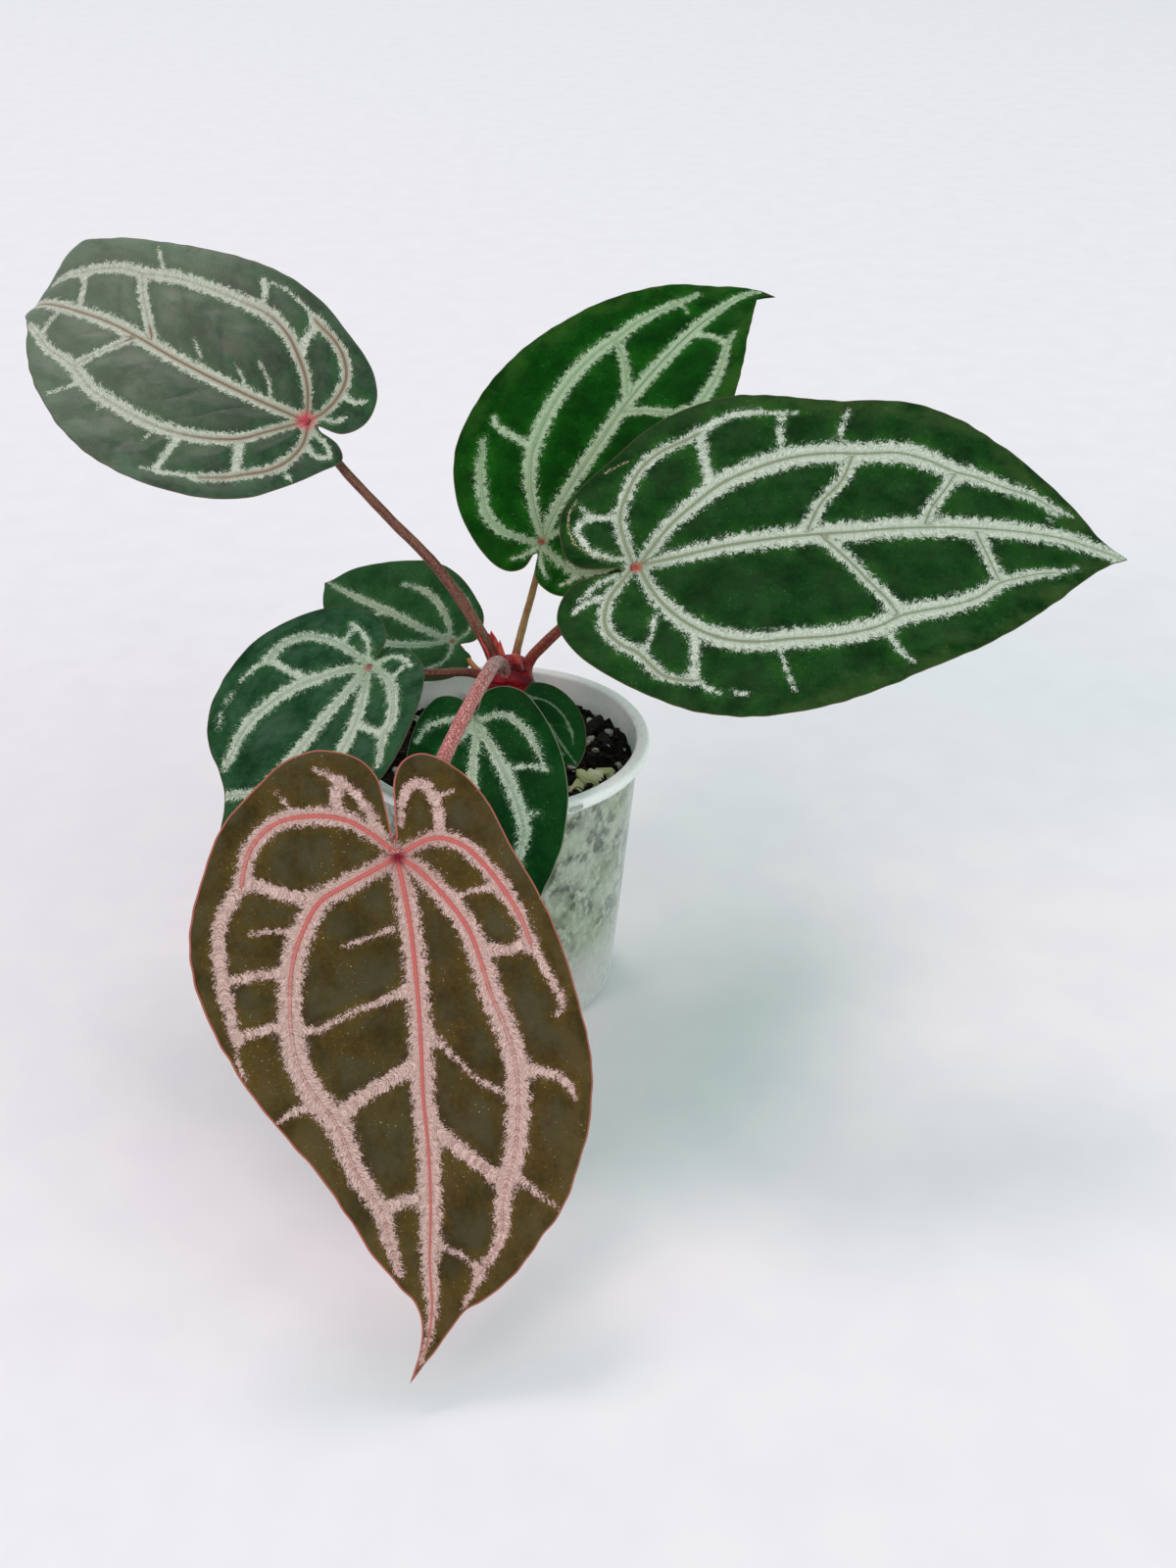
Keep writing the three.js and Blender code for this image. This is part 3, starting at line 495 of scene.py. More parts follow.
def new_mesh(name, points, faces):
    """A mesh from points in millimetres."""
    mesh = bpy.data.meshes.new(name)
    mesh.from_pydata((np.asarray(points, float) * MM).tolist(), [], [list(face) for face in faces])
    return mesh


def add_object(name, data):
    """An object in the scene, from a mesh, a light or a camera."""
    added = bpy.data.objects.new(name, data)
    bpy.context.scene.collection.objects.link(added)
    return added


def add_piece(name, points, faces, materials, face_material=None, attributes=None, smooth=True):
    """A mesh piece of the plant, with vector attributes on its points."""
    mesh = new_mesh(name, points, faces)
    for material in materials:
        mesh.materials.append(material)
    if face_material is not None:
        mesh.polygons.foreach_set("material_index", np.asarray(face_material, np.int32))
    mesh.polygons.foreach_set("use_smooth", np.full(len(mesh.polygons), smooth))
    for key, values in (attributes or {}).items():
        layer = mesh.attributes.new(key, "FLOAT_VECTOR", "POINT")
        layer.data.foreach_set("vector", np.asarray(values, np.float32).ravel())
    mesh.update()
    piece = add_object(name, mesh)
    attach(piece, "root")
    return piece


def grid_faces(rows, columns, start=0, closed=True, flip=False):
    """Quads between rows of points. Each row is closed round, or open."""
    faces = []
    for row in range(rows - 1):
        for column in range(columns if closed else columns - 1):
            a = start + row * columns + column
            b = start + row * columns + (column + 1) % columns
            quad = (a, b, b + columns, a + columns)
            faces.append(quad[::-1] if flip else quad)
    return faces


def closed_faces(rows, columns, flip=False):
    """Faces of a closed form: rows of points, and fans to its end rows from the two points after them."""
    first = rows * columns
    last_row = first - columns
    faces = grid_faces(rows, columns)
    faces += [(first, (i + 1) % columns, i) for i in range(columns)]
    faces += [(first + 1, last_row + i, last_row + (i + 1) % columns) for i in range(columns)]
    return [face[::-1] for face in faces] if flip else faces


def joined(forms):
    """The points and faces of many forms as one, and the number of the form that each point is from."""
    points, faces, owners = [], [], []
    for number, (form_points, form_faces) in enumerate(forms):
        faces += [tuple(index + len(points) for index in face) for face in form_faces]
        points += np.asarray(form_points).tolist()
        owners += [number] * len(form_points)
    return points, faces, owners


def round_turn(count):
    """Evenly spaced angles of a full turn."""
    return np.linspace(0, 2 * np.pi, count, endpoint=False)


def level_ring(radius, turn, z):
    """Points of a level ring: its radius at each angle, and its height."""
    return np.stack([radius * np.cos(turn), radius * np.sin(turn), np.zeros(len(turn)) + z], 1)


def curve_through(points, count):
    """Evenly spaced points of the centripetal Catmull-Rom curve through the given ones."""
    points = np.asarray(points, float)
    ends = [2 * points[0] - points[1], *points, 2 * points[-1] - points[-2]]
    dense = []
    for p0, p1, p2, p3 in zip(ends, ends[1:], ends[2:], ends[3:]):
        gaps = [max(np.linalg.norm(b - a), 1e-4) ** 0.5 for a, b in ((p0, p1), (p1, p2), (p2, p3))]
        start = ((p1 - p0) / gaps[0] - (p2 - p0) / (gaps[0] + gaps[1]) + (p2 - p1) / gaps[1]) * gaps[1]
        end = ((p2 - p1) / gaps[1] - (p3 - p1) / (gaps[1] + gaps[2]) + (p3 - p2) / gaps[2]) * gaps[1]
        t = np.linspace(0, 1, 24, endpoint=False)[:, None]
        dense.append(
            (2 * t**3 - 3 * t**2 + 1) * p1 + (t**3 - 2 * t**2 + t) * start
            + (3 * t**2 - 2 * t**3) * p2 + (t**3 - t**2) * end)
    dense = np.vstack([*dense, points[-1:]])
    travelled = np.concatenate([[0], np.cumsum(np.linalg.norm(np.diff(dense, axis=0), axis=1))])
    stops = np.linspace(0, travelled[-1], count)
    return np.stack([np.interp(stops, travelled, axis) for axis in dense.T], 1)


def length_of(points):
    """Length of the line through the points."""
    return np.linalg.norm(np.diff(np.array(points, float), axis=0), axis=1).sum()


def ripples(places, wavelength, seed):
    """Smooth random height of about -1 to 1 over the places, from many waves."""
    waves = 14
    random = np.random.default_rng(seed)
    places = np.asarray(places, float)
    total = np.zeros(len(places))
    for _ in range(waves):
        direction = random.normal(size=places.shape[1])
        direction *= 2 * np.pi / (wavelength * random.uniform(0.7, 1.6) * np.linalg.norm(direction))
        total += np.sin(places @ direction + random.uniform(0, FULL_TURN))
    return total / math.sqrt(waves / 2) * 0.7


# Leaf blades

def points_of(text):
    """Points from text such as "0,0 5,2.5"."""
    return [[float(number) for number in point.split(",")] for point in text.split()]


def leaf_axes(leaf):
    """Unit vectors along the midrib, to the right of it, and out of the upper face."""
    heading, pitch, roll = (math.radians(leaf[key]) for key in ("heading", "pitch", "roll"))
    level = math.cos(pitch)
    along = np.array([level * math.cos(heading), level * math.sin(heading), math.sin(pitch)])
    level_right = np.array([math.sin(heading), -math.cos(heading), 0])
    level_up = np.cross(level_right, along)
    right = level_right * math.cos(roll) - level_up * math.sin(roll)
    up = level_right * math.sin(roll) + level_up * math.cos(roll)
    return along, right, up


def midrib_of(leaf):
    """Places and axes along the midrib, from behind the lobes to beyond the tip."""
    along, right, up = leaf_axes(leaf)
    step = 0.005
    s = np.arange(-0.5, 1.2 + step / 2, step)
    near_tip = np.maximum(0, (s - 0.78) / 0.22)
    bend = -math.radians(leaf["droop"]) * np.maximum(s, -0.3) - math.radians(leaf["curl"]) * near_tip**2
    turn = math.radians(leaf["sweep"]) * np.maximum(s, 0)
    direction = (np.outer(np.cos(bend) * np.cos(turn), along) + np.outer(np.sin(bend), up)
                 + np.outer(np.cos(bend) * np.sin(turn), right))
    side = np.outer(np.cos(turn), right) - np.outer(np.sin(turn), along)
    normal = np.cross(side, direction)
    normal /= np.linalg.norm(normal, axis=1)[:, None]
    place = np.vstack([np.zeros(3), np.cumsum(direction, axis=0)[:-1]]) * step * leaf["length"]
    place += np.array(leaf["at"]) - place[np.argmin(abs(s))]
    return s, place, side, normal


def blade_points(leaf, across, along, height):
    """Points of the bent blade. Across and along are measured on the flat leaf."""
    s, *axes = midrib_of(leaf)
    share = along / leaf["length"]
    place, side, normal = (
        np.stack([np.interp(share, s, axis) for axis in values.T], 1) for values in axes)
    fold = math.radians(leaf["fold"])
    soft_width = 4
    outward = np.hypot(across, soft_width) - soft_width
    edge = (across / (0.4 * leaf["length"])) ** 2
    wave = leaf["wave"] * edge * np.sin(share * 9 + np.where(across > 0, 0, 1.7))
    lift = outward * math.sin(fold) + wave + height
    return place + side * (across * math.cos(fold))[:, None] + normal * lift[:, None]


def outline_of(leaf, count):
    """Points round the flat blade: along its right edge to the tip, and back along its left edge."""
    right, left = (curve_through([*points_of(leaf[side]), leaf["tip"]], count // 2 + 1)
                   for side in ("right", "left"))
    return np.vstack([right[:-1], left[:0:-1]])


def middle_of(leaf, places):
    """How far the middle of the flat blade has bent sideways, on its way to the tip."""
    tip_across, tip_along = leaf["tip"]
    start = 0.72 * leaf["length"]
    bent = tip_across * (np.maximum(0, places[:, 1] - start) / (tip_along - start)) ** 2
    return np.stack([bent, np.zeros(len(places))], 1)


def distance_to(points, line):
    """Distance of each point to a line of points, the share along it, and the side it lies on."""
    best = np.full(len(points), 1e9)
    share = np.zeros(len(points))
    side = np.ones(len(points))
    for index, (a, b) in enumerate(zip(line, line[1:])):
        span = b - a
        t = np.clip(((points - a) @ span) / (span @ span), 0, 1)
        offset = points - a - t[:, None] * span
        gap = np.hypot(offset[:, 0], offset[:, 1])
        closer = gap < best
        best = np.where(closer, gap, best)
        share = np.where(closer, (index + t) / (len(line) - 1), share)
        side = np.where(closer, np.sign(span[0] * offset[:, 1] - span[1] * offset[:, 0]), side)
    return best, share, side


def vein_field(leaf, places):
    """For each place: its distance outside the pale bands (smoothed where they join), the way along the
    nearest vein, its distance from that vein, and the signed distance to the nearest main vein."""
    blended, way = np.zeros((2, len(places)))
    nearest, centre, edges = np.full((3, len(places)), 1e9)
    softness = 0.45
    apart = 37  # keeps the hairs of one vein from matching another's
    for number, (start, middle, end, text) in enumerate([*leaf["main"], *leaf["links"]]):
        points = points_of(text)
        length = length_of(points)
        gap, share, side = distance_to(places, curve_through(points, max(4, int(length / 1.5))))
        edge = gap - np.interp(share, [0, 0.3, 0.7, 1], [start, middle, middle, end])
        blended += np.exp(-np.clip(edge, -8, 12) / softness)
        closer = edge < edges
        edges = np.where(closer, edge, edges)
        nearest = np.where(closer, gap, nearest)
        way = np.where(closer, share * length + apart * number, way)
        if number < len(leaf["main"]):
            centre = np.where(gap < abs(centre), gap * side, centre)
    return -softness * np.log(blended), way, nearest, centre


def pleat_crests(flat, size):
    """Pleats slanting forward from the midrib: 1 along the rounded crests and 0 in the narrow creases."""
    wander = 2.6 * ripples(flat, 24, 9)
    spacing = 0.125 * size
    return abs(np.sin(np.pi * (flat[:, 1] - 0.8 * abs(flat[:, 0]) + wander) / spacing)) ** 0.6


def blade_faces(around, top_rings, bottom_rings):
    """Faces of a blade: the hub fans, the rings of both faces and the rim that joins them."""
    top_start = 2
    bottom_start = 2 + top_rings * around
    faces = [(0, top_start + i, top_start + (i + 1) % around) for i in range(around)]
    faces += grid_faces(top_rings, around, top_start, flip=True)
    top_count = len(faces)
    last_top = bottom_start - around
    last_bottom = bottom_start + (bottom_rings - 1) * around
    for i in range(around):
        after = (i + 1) % around
        faces.append((last_top + i, last_bottom + i, last_bottom + after, last_top + after))
    faces += [(1, bottom_start + (i + 1) % around, bottom_start + i) for i in range(around)]
    faces += grid_faces(bottom_rings, around, bottom_start)
    return faces, top_count


def ring_counts(size):
    """Points round a blade, and rings on its upper face and its underside."""
    if size > 90:
        return 420, 78, 26
    return (300, 48, 18) if size > 40 else (180, 26, 10)


def make_blade(name, leaf, look):
    """A leaf's blade: rings of points out from the hub, raised by the relief that its veins give it."""
    size = leaf["length"]
    around, top_rings, bottom_rings = ring_counts(size)
    edge = outline_of(leaf, around)
    edge = edge * (1 + 0.002 * ripples(edge, 8, 6))[:, None]
    hub = np.array([0, size * 0.1])
    straight = edge - middle_of(leaf, edge)
    reaches = [np.linspace(0, 1, count + 1)[1:] ** 0.9 for count in (top_rings, bottom_rings)]
    flat = np.vstack([hub, hub, *(hub + (straight - hub) * r for r in np.hstack(reaches))])
    flat = flat + middle_of(leaf, flat)
    is_top = np.zeros(len(flat), bool)
    is_top[0] = True
    is_top[2:2 + top_rings * around] = True
    outside, way, gap, centre = vein_field(leaf, flat)
    margin = distance_to(flat, np.vstack([edge, edge[:1]]))[0]
    scar = np.full(len(flat), 9.0)
    for text in leaf.get("scars", []):
        scar = np.minimum(scar, distance_to(flat, np.array(points_of(text)))[0])

    # Relief: pillows between the veins, grooves along them, pleats and puckers, and ribs below
    pillow = 1 - np.exp(-(np.maximum(outside, 0) / 5) ** 2)
    groove = np.exp(-(gap / 2.2) ** 2)
    crest = pleat_crests(flat, size)
    folds = look["pucker"] * ripples(flat, 11, 5) + look["pleats"] * (crest - 0.6)
    lumps = folds * np.clip(margin / 6, 0, 1) * pillow
    relief = look["quilt"] * (0.75 * pillow - 0.25 * groove) * np.clip(margin / 5, 0.1, 1) + lumps
    rim = np.exp(-margin / 0.5)
    rib = MIDRIB_DEPTH * np.exp(-(flat[:, 0] / 1.6) ** 2) * np.clip(1 - flat[:, 1] / size, 0, 1)
    veins_below = np.maximum(0.5 * np.exp(-(centre / 1.1) ** 2), rib * (flat[:, 1] > -2))
    upper = -0.3 * rim + relief + BLADE_TOP
    under = relief + BLADE_UNDERSIDE + 0.25 * rim - veins_below
    points = blade_points(leaf, flat[:, 0], flat[:, 1], np.where(is_top, upper, under))

    faces, top_count = blade_faces(around, top_rings, bottom_rings)
    piece = add_piece(
        name + "_leaf", points, faces, [upper_face(name, look), under_face(name, look)],
        np.arange(len(faces)) >= top_count,
        {"vein": np.stack([outside, way, gap], 1),
         "spot": np.stack([flat[:, 0], flat[:, 1], margin], 1),
         "line": np.stack([np.clip(centre, -20, 20), crest, scar], 1)})
    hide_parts("blade_" + name)


def upper_face(name, look):
    """The leaf's upper face: mottled ground with painted sheen and painted crease shade, feathered pale
    bands, a line along each main vein.
    """
    size = LEAVES[name]["length"]
    shader = Shader(name + "_upper", Specular_IOR_Level=look["specular"])
    outside, way, gap = shader.attribute("vein")
    across, along, margin = shader.attribute("spot")
    from_line, crest, scar = shader.attribute("line")
    centre = abs(from_line)
    flat = shader.together(across, along)
    from_hub = shader.length(flat)

    # Feathering: fine ragged grain and hairs that slant forward from the vein, less on thin veins
    width = gap - outside
    slanted = way - gap * 0.9
    hairs = shader.noise(shader.stretch(shader.together(slanted, gap), 2.8, 0.8), 1.0, 2.0, 0.6)
    clumps = shader.noise(flat, 0.55)
    crumbs = shader.noise(flat, 1.9, 3.0, 0.75)
    specks = shader.noise(flat, 4.5, 1.0)
    uneven = (hairs.step(0.34, 0.66, -0.45, 0.45) + clumps.step(0.34, 0.66, -0.55, 0.55)
              + crumbs.step(0.34, 0.66, -0.75, 0.75) + specks.step(0.3, 0.7, -0.4, 0.4))
    frayed = uneven * width.step(0.2, 2.2, 0.65 * look["feather"], look["feather"])
    edge = outside - width.step(0.4, 1.4, 0.0, look["band"]) + frayed
    band = edge.step(0.2, -0.2)
    haze = edge.step(1.5, -0.2) * hairs.step(0.55, 0.4)

    # Ground colour between the veins, with painted sheen, painted shade in the creases and a margin tone
    # that is partly painted sheen
    patches = shader.noise(flat, 0.09, 4.0, 0.6)
    mottle = shader.noise(flat, 0.9, 3.0, 0.6)
    cloudy = patches * 0.65 + mottle * 0.35
    ground = shader.mix(cloudy.step(0.38, 0.62), *look["ground"])
    near_vein = outside.step(5.0, 0.3) * patches.step(0.35, 0.65)
    ground = shader.mix(near_vein * 0.55, ground, look["lively"])
    # Painted sheen: grey streaks of the sheen colour away from the veins, weaker near the hub on some leaves
    streaks = shader.noise(shader.stretch(shader.together(across, along, 3.0), 0.13, 0.08), 1.0, 4.0, 0.6)
    tipward = along.step(-0.1 * size, 0.8 * size)
    greyed = tipward.step(0.0, 1.0, look["painted_sheen_at_hub"], 1.0)
    grey = streaks.step(0.36, 0.64) * outside.step(0.5, 3.5) * greyed
    ground = shader.mix(grey * look["grey"], ground, look["painted_sheen_colour"])
    # Painted shade in the pleats' creases: the ground's darker colour laid along them
    crease = crest.step(0.85, 0.2) * patches.step(0.38, 0.55) * abs(across).step(20.0, 9.0)
    ground = shader.mix(crease * look["crease_shade"], ground, look["ground"][0])
    # Lighter tone along the margin: partly the leaf's own colour, partly painted sheen
    margin_tone_and_sheen_mask = margin.step(10.0, 1.0) * streaks.step(0.36, 0.64) * tipward.step(0.0, 0.6, 0.2, 1.0)
    ground = shader.mix(margin_tone_and_sheen_mask * look["margin_tone_and_sheen_share"], ground, look["margin_tone_and_sheen"])
    # Painted sheen: a wash of the sheen colour that grows towards the tip
    ground = shader.mix(tipward * look["tip_painted_sheen"], ground, look["painted_sheen_colour"])
    ground = shader.mix(shader.cells(flat, 2.6) * 0.28, ground, look["ground"][0])

    # Pale bands: crystalline grain, whiter away from the hub, with a tone beside the main veins' line
    crystal = shader.noise(flat, 5.5, 2.0, 0.8)
    strand = shader.noise(shader.stretch(shader.together(slanted, gap, 5.0), 3.2, 0.9), 1.0, 2.0, 0.6)
    shine = crystal * 0.55 + strand * 0.45
    pale = shader.mix(shine.step(0.4, 0.59), *look["pale"])
    pale = shader.mix(from_hub.step(16.0, 2.0, 0.0, 0.45), pale, look["pale"][0])
    far = look["line_reach"]
    kept = shader.maths("MAXIMUM", abs(across).step(5.0, 3.0), from_hub.step(far, far * 0.4, 0.15, 1.0))
    by_line = (centre * along.step(size, 0.0, 1.6, 1.0)).step(1.7, 0.3) * kept
    pale = shader.mix(by_line * look["halo_share"], pale, look["halo"])
    colour = shader.mix(haze * look["haze"], ground, look["pale"][0])
    colour = shader.mix(band, colour, pale)

    # The thin line along the main veins, the hub, the margin, pale scars and specks
    line_edge = along.step(size, 0.0, 0.35, 1.25) * look["line_width"]
    inside = (centre / line_edge).step(1.1, 0.65) * outside.step(-0.1, -0.8)
    colour = shader.mix(inside * kept * look["line_strength"], colour, look["line"])
    colour = shader.mix(from_hub.step(look["hub_size"] * 1.3, 0.0), colour, look["hub"])
    rim_share = margin.step(look["margin_width"] * 1.25, look["margin_width"] * 0.7)
    colour = shader.mix(rim_share * 0.8, colour, look["margin"])
    broken = scar + crumbs.step(0.35, 0.6, 0.0, 0.7)
    colour = shader.mix(broken.step(0.75, 0.35, 0.0, 0.8), colour, "#c8b498")
    dusty = shader.noise(flat, 1.7, 1.0).step(0.69, 0.74) * patches.step(0.48, 0.6)
    colour = shader.mix(dusty * look["specks"], colour, "#b9ac8c")

    # Relief: cells of the ground, raised grain of the bands, a ridge along each main vein
    fine = shader.bump(shader.cells(flat, 3.5), 0.00012, 0.5)
    grainy = shader.bump(shine * band, 0.00025, 0.7, fine)
    ridge = shader.bump(centre.step(0.9, 0.0) * inside, 0.0005, 0.8, grainy)
    rough = (mottle + band * -0.2).step(0.2, 0.8, look["rough"] - 0.08, look["rough"] + 0.12)
    return shader.set(Base_Color=colour, Roughness=rough, Normal=ridge)


def under_face(name, look):
    """The leaf's underside: paler and matte, with its raised veins showing faintly."""
    shader = Shader(name + "_under", Specular_IOR_Level=0.3)
    outside = shader.attribute("vein")[0]
    across, along, margin = shader.attribute("spot")
    centre = abs(shader.attribute("line")[0])
    flat = shader.together(across, along)
    patches = shader.noise(flat, 0.12, 4.0, 0.6)
    colour = shader.mix(patches.step(0.35, 0.65), look["under"], look["ground"][1])
    colour = shader.mix(outside.step(1.2, -0.6, 0.0, 0.5), colour, look["pale"][0])
    colour = shader.mix(centre.step(0.9, 0.3, 0.0, 0.7), colour, look["line"])
    colour = shader.mix(margin.step(look["margin_width"] * 1.3, 0.1, 0.0, 0.8), colour, look["margin"])
    net = shader.bump(shader.cells(flat, 0.9), 0.0002, 0.5)
    grain = shader.bump(shader.noise(flat, 4.0), 0.0001, 0.5, net)
    return shader.set(Base_Color=colour, Roughness=patches.step(0.2, 0.8, 0.5, 0.7), Normal=grain)


# Stalks

def tube(path, radius, steps, sides, wobble=0.0, seed=0):
    """Points and faces of a tube along a curve, whose radius changes along it, closed by end points. Also
    where each point is in the tube: its place across it and the way along it."""
    centres = curve_through(path, steps + 1)
    tangents = np.gradient(centres, axis=0)
    tangents /= np.linalg.norm(tangents, axis=1)[:, None]
    side = np.cross(tangents[0], [0.3, 0.2, 1.0])
    side /= np.linalg.norm(side)
    turn = round_turn(sides)
    points, spots = [], []
    travelled = 0.0
    for step in range(steps + 1):
        side = side - tangents[step] * (side @ tangents[step])
        side /= np.linalg.norm(side)
        other = np.cross(tangents[step], side)
        if step:
            travelled += np.linalg.norm(centres[step] - centres[step - 1])
        r = radius(step / steps)
        around = np.outer(np.cos(turn), side) + np.outer(np.sin(turn), other)
        uneven = 1 + wobble * ripples(centres[step] / (3 * r) + around, 2.4, seed)
        points.append(centres[step] + around * (r * uneven)[:, None])
        spots.append(level_ring(r, turn, travelled))
    points = np.vstack([*points, centres[:1], centres[-1:]])
    spots = np.vstack([*spots, [[0, 0, 0], [0, 0, travelled]]])
    return points, closed_faces(steps + 1, sides), spots


def stalk_material(name):
    """Stalk skin: lengthwise streaks and pale specks, crimson at its base. The youngest has paler specks
    and is redder towards its blade."""
    young = name == "new_front"
    shader = Shader(name + "_stalk_skin", Specular_IOR_Level=0.3)
    around, other, along = shader.attribute("spot")
    spot = shader.together(around, other, along)
    streak = shader.noise(shader.stretch(spot, 1.1, 1.1, 0.06), 1.0, 3.0)
    blotch = shader.noise(spot, 0.35, 3.0)
    specks = shader.noise(spot, 2.3, 1.0, 0.6)
    mixed = streak * 0.6 + blotch * 0.4
    colour = shader.mix(mixed.step(0.4, 0.62), *STALK_COLOURS[name])
    colour = shader.mix(along.step(9.0, 2.0, 0.0, 0.9), colour, "#8a1520")
    if young:
        colour = shader.mix(along.step(10.0, 50.0, 0.0, 0.75), colour, "#a84c4a")
    share, speck_colour = (0.6, "#efcdc4") if young else (0.3, "#a58a6a")
    colour = shader.mix(specks.step(0.53, 0.62, 0.0, share), colour, speck_colour)
    grooves = shader.bump(streak, 0.0004, 0.5)
    skin = shader.bump(specks, 0.0002, 0.4, grooves)
    return shader.set(Base_Color=colour, Roughness=blotch.step(0.3, 0.7, 0.34, 0.5), Normal=skin)


def make_stalk(name, leaf):
    """A leaf's stalk, wider at the crown and at the knee below its blade."""
    along, _, up = leaf_axes(leaf)
    attachment = np.array(leaf["at"], float)
    reach = 0.03 * leaf["length"] + 1.5
    knee = attachment - up * reach - along * 0.6 * reach
    path = [*points_of(leaf["stalk"]), knee, attachment - up * 0.85]
    base, tip = leaf["stalk_radius"]
    length = length_of(path)

    def radius(t):
        swelling = 0.28 * tip * math.exp(-(((1 - t) * length / 4.5) ** 2))
        sheath = 0.3 * base * math.exp(-((t * length / 3.2) ** 2))
        return base + (tip - base) * t**0.7 + swelling + sheath

    points, faces, spots = tube(path, radius, max(24, int(length * 1.2)), 28, 0.035, len(name))
    piece = add_piece(name + "_stalk", points, faces, [stalk_material(name)], attributes={"spot": spots})
    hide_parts("stalk_" + name)


# Stem

def stem_material():
    """Crimson stem skin, browner towards the mix and duller at the crown, with leaf scars round it."""
    shader = Shader("stem_skin", Specular_IOR_Level=0.2)
    place = shader.place()
    z = shader.parts(place)[2]
    blotch = shader.noise(place, 0.3, 3.0)
    fine = shader.noise(place, 1.6, 3.0)
    colour = shader.mix(blotch.step(0.35, 0.65), "#5a0710", "#960d18")
    colour = shader.mix(z.step(92.0, 84.0, 0.0, 0.85), colour, "#4a2a1c")
    colour = shader.mix(z.step(104.0, 111.0, 0.0, 0.45), colour, "#6a0f1c")
    colour = shader.mix(fine.step(0.62, 0.74, 0.0, 0.3), colour, "#b8302e")
    scars = shader.maths("SINE", (z + blotch * 3.0) * 1.6)
    colour = shader.mix(scars.step(0.8, 1.0, 0.0, 0.6), colour, "#3a0a10")
    rings = shader.bump(scars.step(0.5, 1.0, 1.0, 0.0), 0.0006, 0.7)
    skin = shader.bump(fine, 0.0003, 0.5, rings)
    return shader.set(Base_Color=colour, Roughness=blotch.step(0.3, 0.7, 0.3, 0.5), Normal=skin)


def make_stem():
    """The stem, with its buried foot, swollen joints and crown, and a domed top between the stalks."""
    rows, sides = 90, 64
    neck = SOIL_TOP + 3
    profile = curve_through(
        [[3.6, 60], [4.3, 70], [4.4, neck], [5.3, neck + 3], [4.7, neck + 6], [5.7, neck + 10],
         [5.4, neck + 13], [7.0, neck + 18], [7.3, neck + 22.5], [6.6, neck + 26], [4.4, neck + 28.6],
         [1.8, neck + 30]], rows)
    turn = round_turn(sides)
    points = []
    for radius, z in profile:
        ring = level_ring(1, turn, z * 0.16)
        uneven = 1 + 0.09 * ripples(ring, 1.5, 3) + 0.03 * ripples(ring * 3, 1.5, 8)
        points.append(level_ring(radius * uneven, turn, z) + [STEM_X, 0, 0])
    points.append([[STEM_X, 0, profile[0, 1]], [STEM_X, 0, profile[-1, 1] + 0.3]])
    piece = add_piece("crimson_stem", np.vstack(points), closed_faces(rows, sides), [stem_material()])
    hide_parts("stem")


def bract_material():
    shader = Shader("bract_paper", Specular_IOR_Level=0.35, Subsurface_Weight=0.15)
    veins = shader.noise(shader.stretch(shader.place(), 1.6, 1.6, 0.25), 1.0, 3.0)
    colour = shader.mix(veins.step(0.35, 0.65), "#b01c24", "#dd4640")
    return shader.set(Base_Color=colour, Roughness=0.5, Normal=shader.bump(veins, 0.0005, 0.6))


def make_bract():
    """A dry red papery bract: a torn collar round the front of the tallest stalk's base."""
    rows, columns = 22, 34
    spine = curve_through([[1.2, -0.9, 109], [0.2, -0.8, 113], [-1.0, -0.3, 117], [-2.6, 0.5, 121]], rows)
    axis = spine[-1] - spine[0]
    axis /= np.linalg.norm(axis)
    front = np.cross(axis, [0.85, 0.5, 0.0])
    front /= np.linalg.norm(front)
    side = np.cross(axis, front)
    points = []
    for thickness in (0.0, 0.3):
        for row in range(rows):
            for column in range(columns):
                c = 2 * column / (columns - 1) - 1
                torn = 0.72 + 0.2 * math.cos(2.6 * c - 0.5)
                torn += 0.07 * math.sin(11 * c) + 0.03 * math.sin(29 * c)
                t = row / (rows - 1) * torn
                centre = spine[0] + (spine[-1] - spine[0]) * t
                centre = centre + (spine[int(t * (rows - 1))] - centre) * 0.5
                turn = 1.9 * c
                flare = 2.35 + 0.5 * t**2 + 0.15 * math.sin(6 * c + 5 * t) - thickness
                points.append(centre + (front * math.cos(turn) + side * math.sin(turn)) * flare)
    faces = grid_faces(rows, columns, closed=False)
    faces += grid_faces(rows, columns, rows * columns, closed=False, flip=True)
    sheet = np.arange(rows * columns).reshape(rows, columns)
    border = np.hstack([sheet[0], sheet[1:, -1], sheet[-1, -2::-1], sheet[-2:0:-1, 0]]).tolist()
    for a, b in zip(border, border[1:] + border[:1]):
        faces.append((b, a, a + rows * columns, b + rows * columns))
    add_piece("red_bract", points, faces, [bract_material()])


def bud_material():
    shader = Shader("bud_skin", Specular_IOR_Level=0.5, Subsurface_Weight=0.2)
    place = shader.place()
    grain = shader.noise(place, 1.4, 3.0)
    colour = shader.mix(shader.parts(place)[2].step(110.5, 113.5), "#6e0c14", "#a83a36")
    colour = shader.mix(grain.step(0.45, 0.7, 0.0, 0.4), colour, "#c06a60")
    return shader.set(Base_Color=colour, Roughness=0.35, Normal=shader.bump(grain, 0.0003, 0.5))


def make_bud():
    """The pale bud on the crown."""
    path = [[7.0, -2.0, 107], [6.9, -3.0, 110], [6.4, -3.6, 112.6], [5.4, -3.9, 114.6]]
    points, faces, _ = tube(path, lambda t: 1.6 * math.sqrt(max(0.02, 1 - t**2.6)), 24, 20, 0.04, 4)
    add_piece("pale_bud", points, faces, [bud_material()])


def root_material():
    shader = Shader("root_skin", Specular_IOR_Level=0.3)
    grain = shader.noise(shader.place(), 1.2, 4.0)
    colour = shader.mix(grain.step(0.35, 0.65), "#5a3c26", "#a07a58")
    return shader.set(Base_Color=colour, Roughness=0.75, Normal=shader.bump(grain, 0.0004, 0.7))


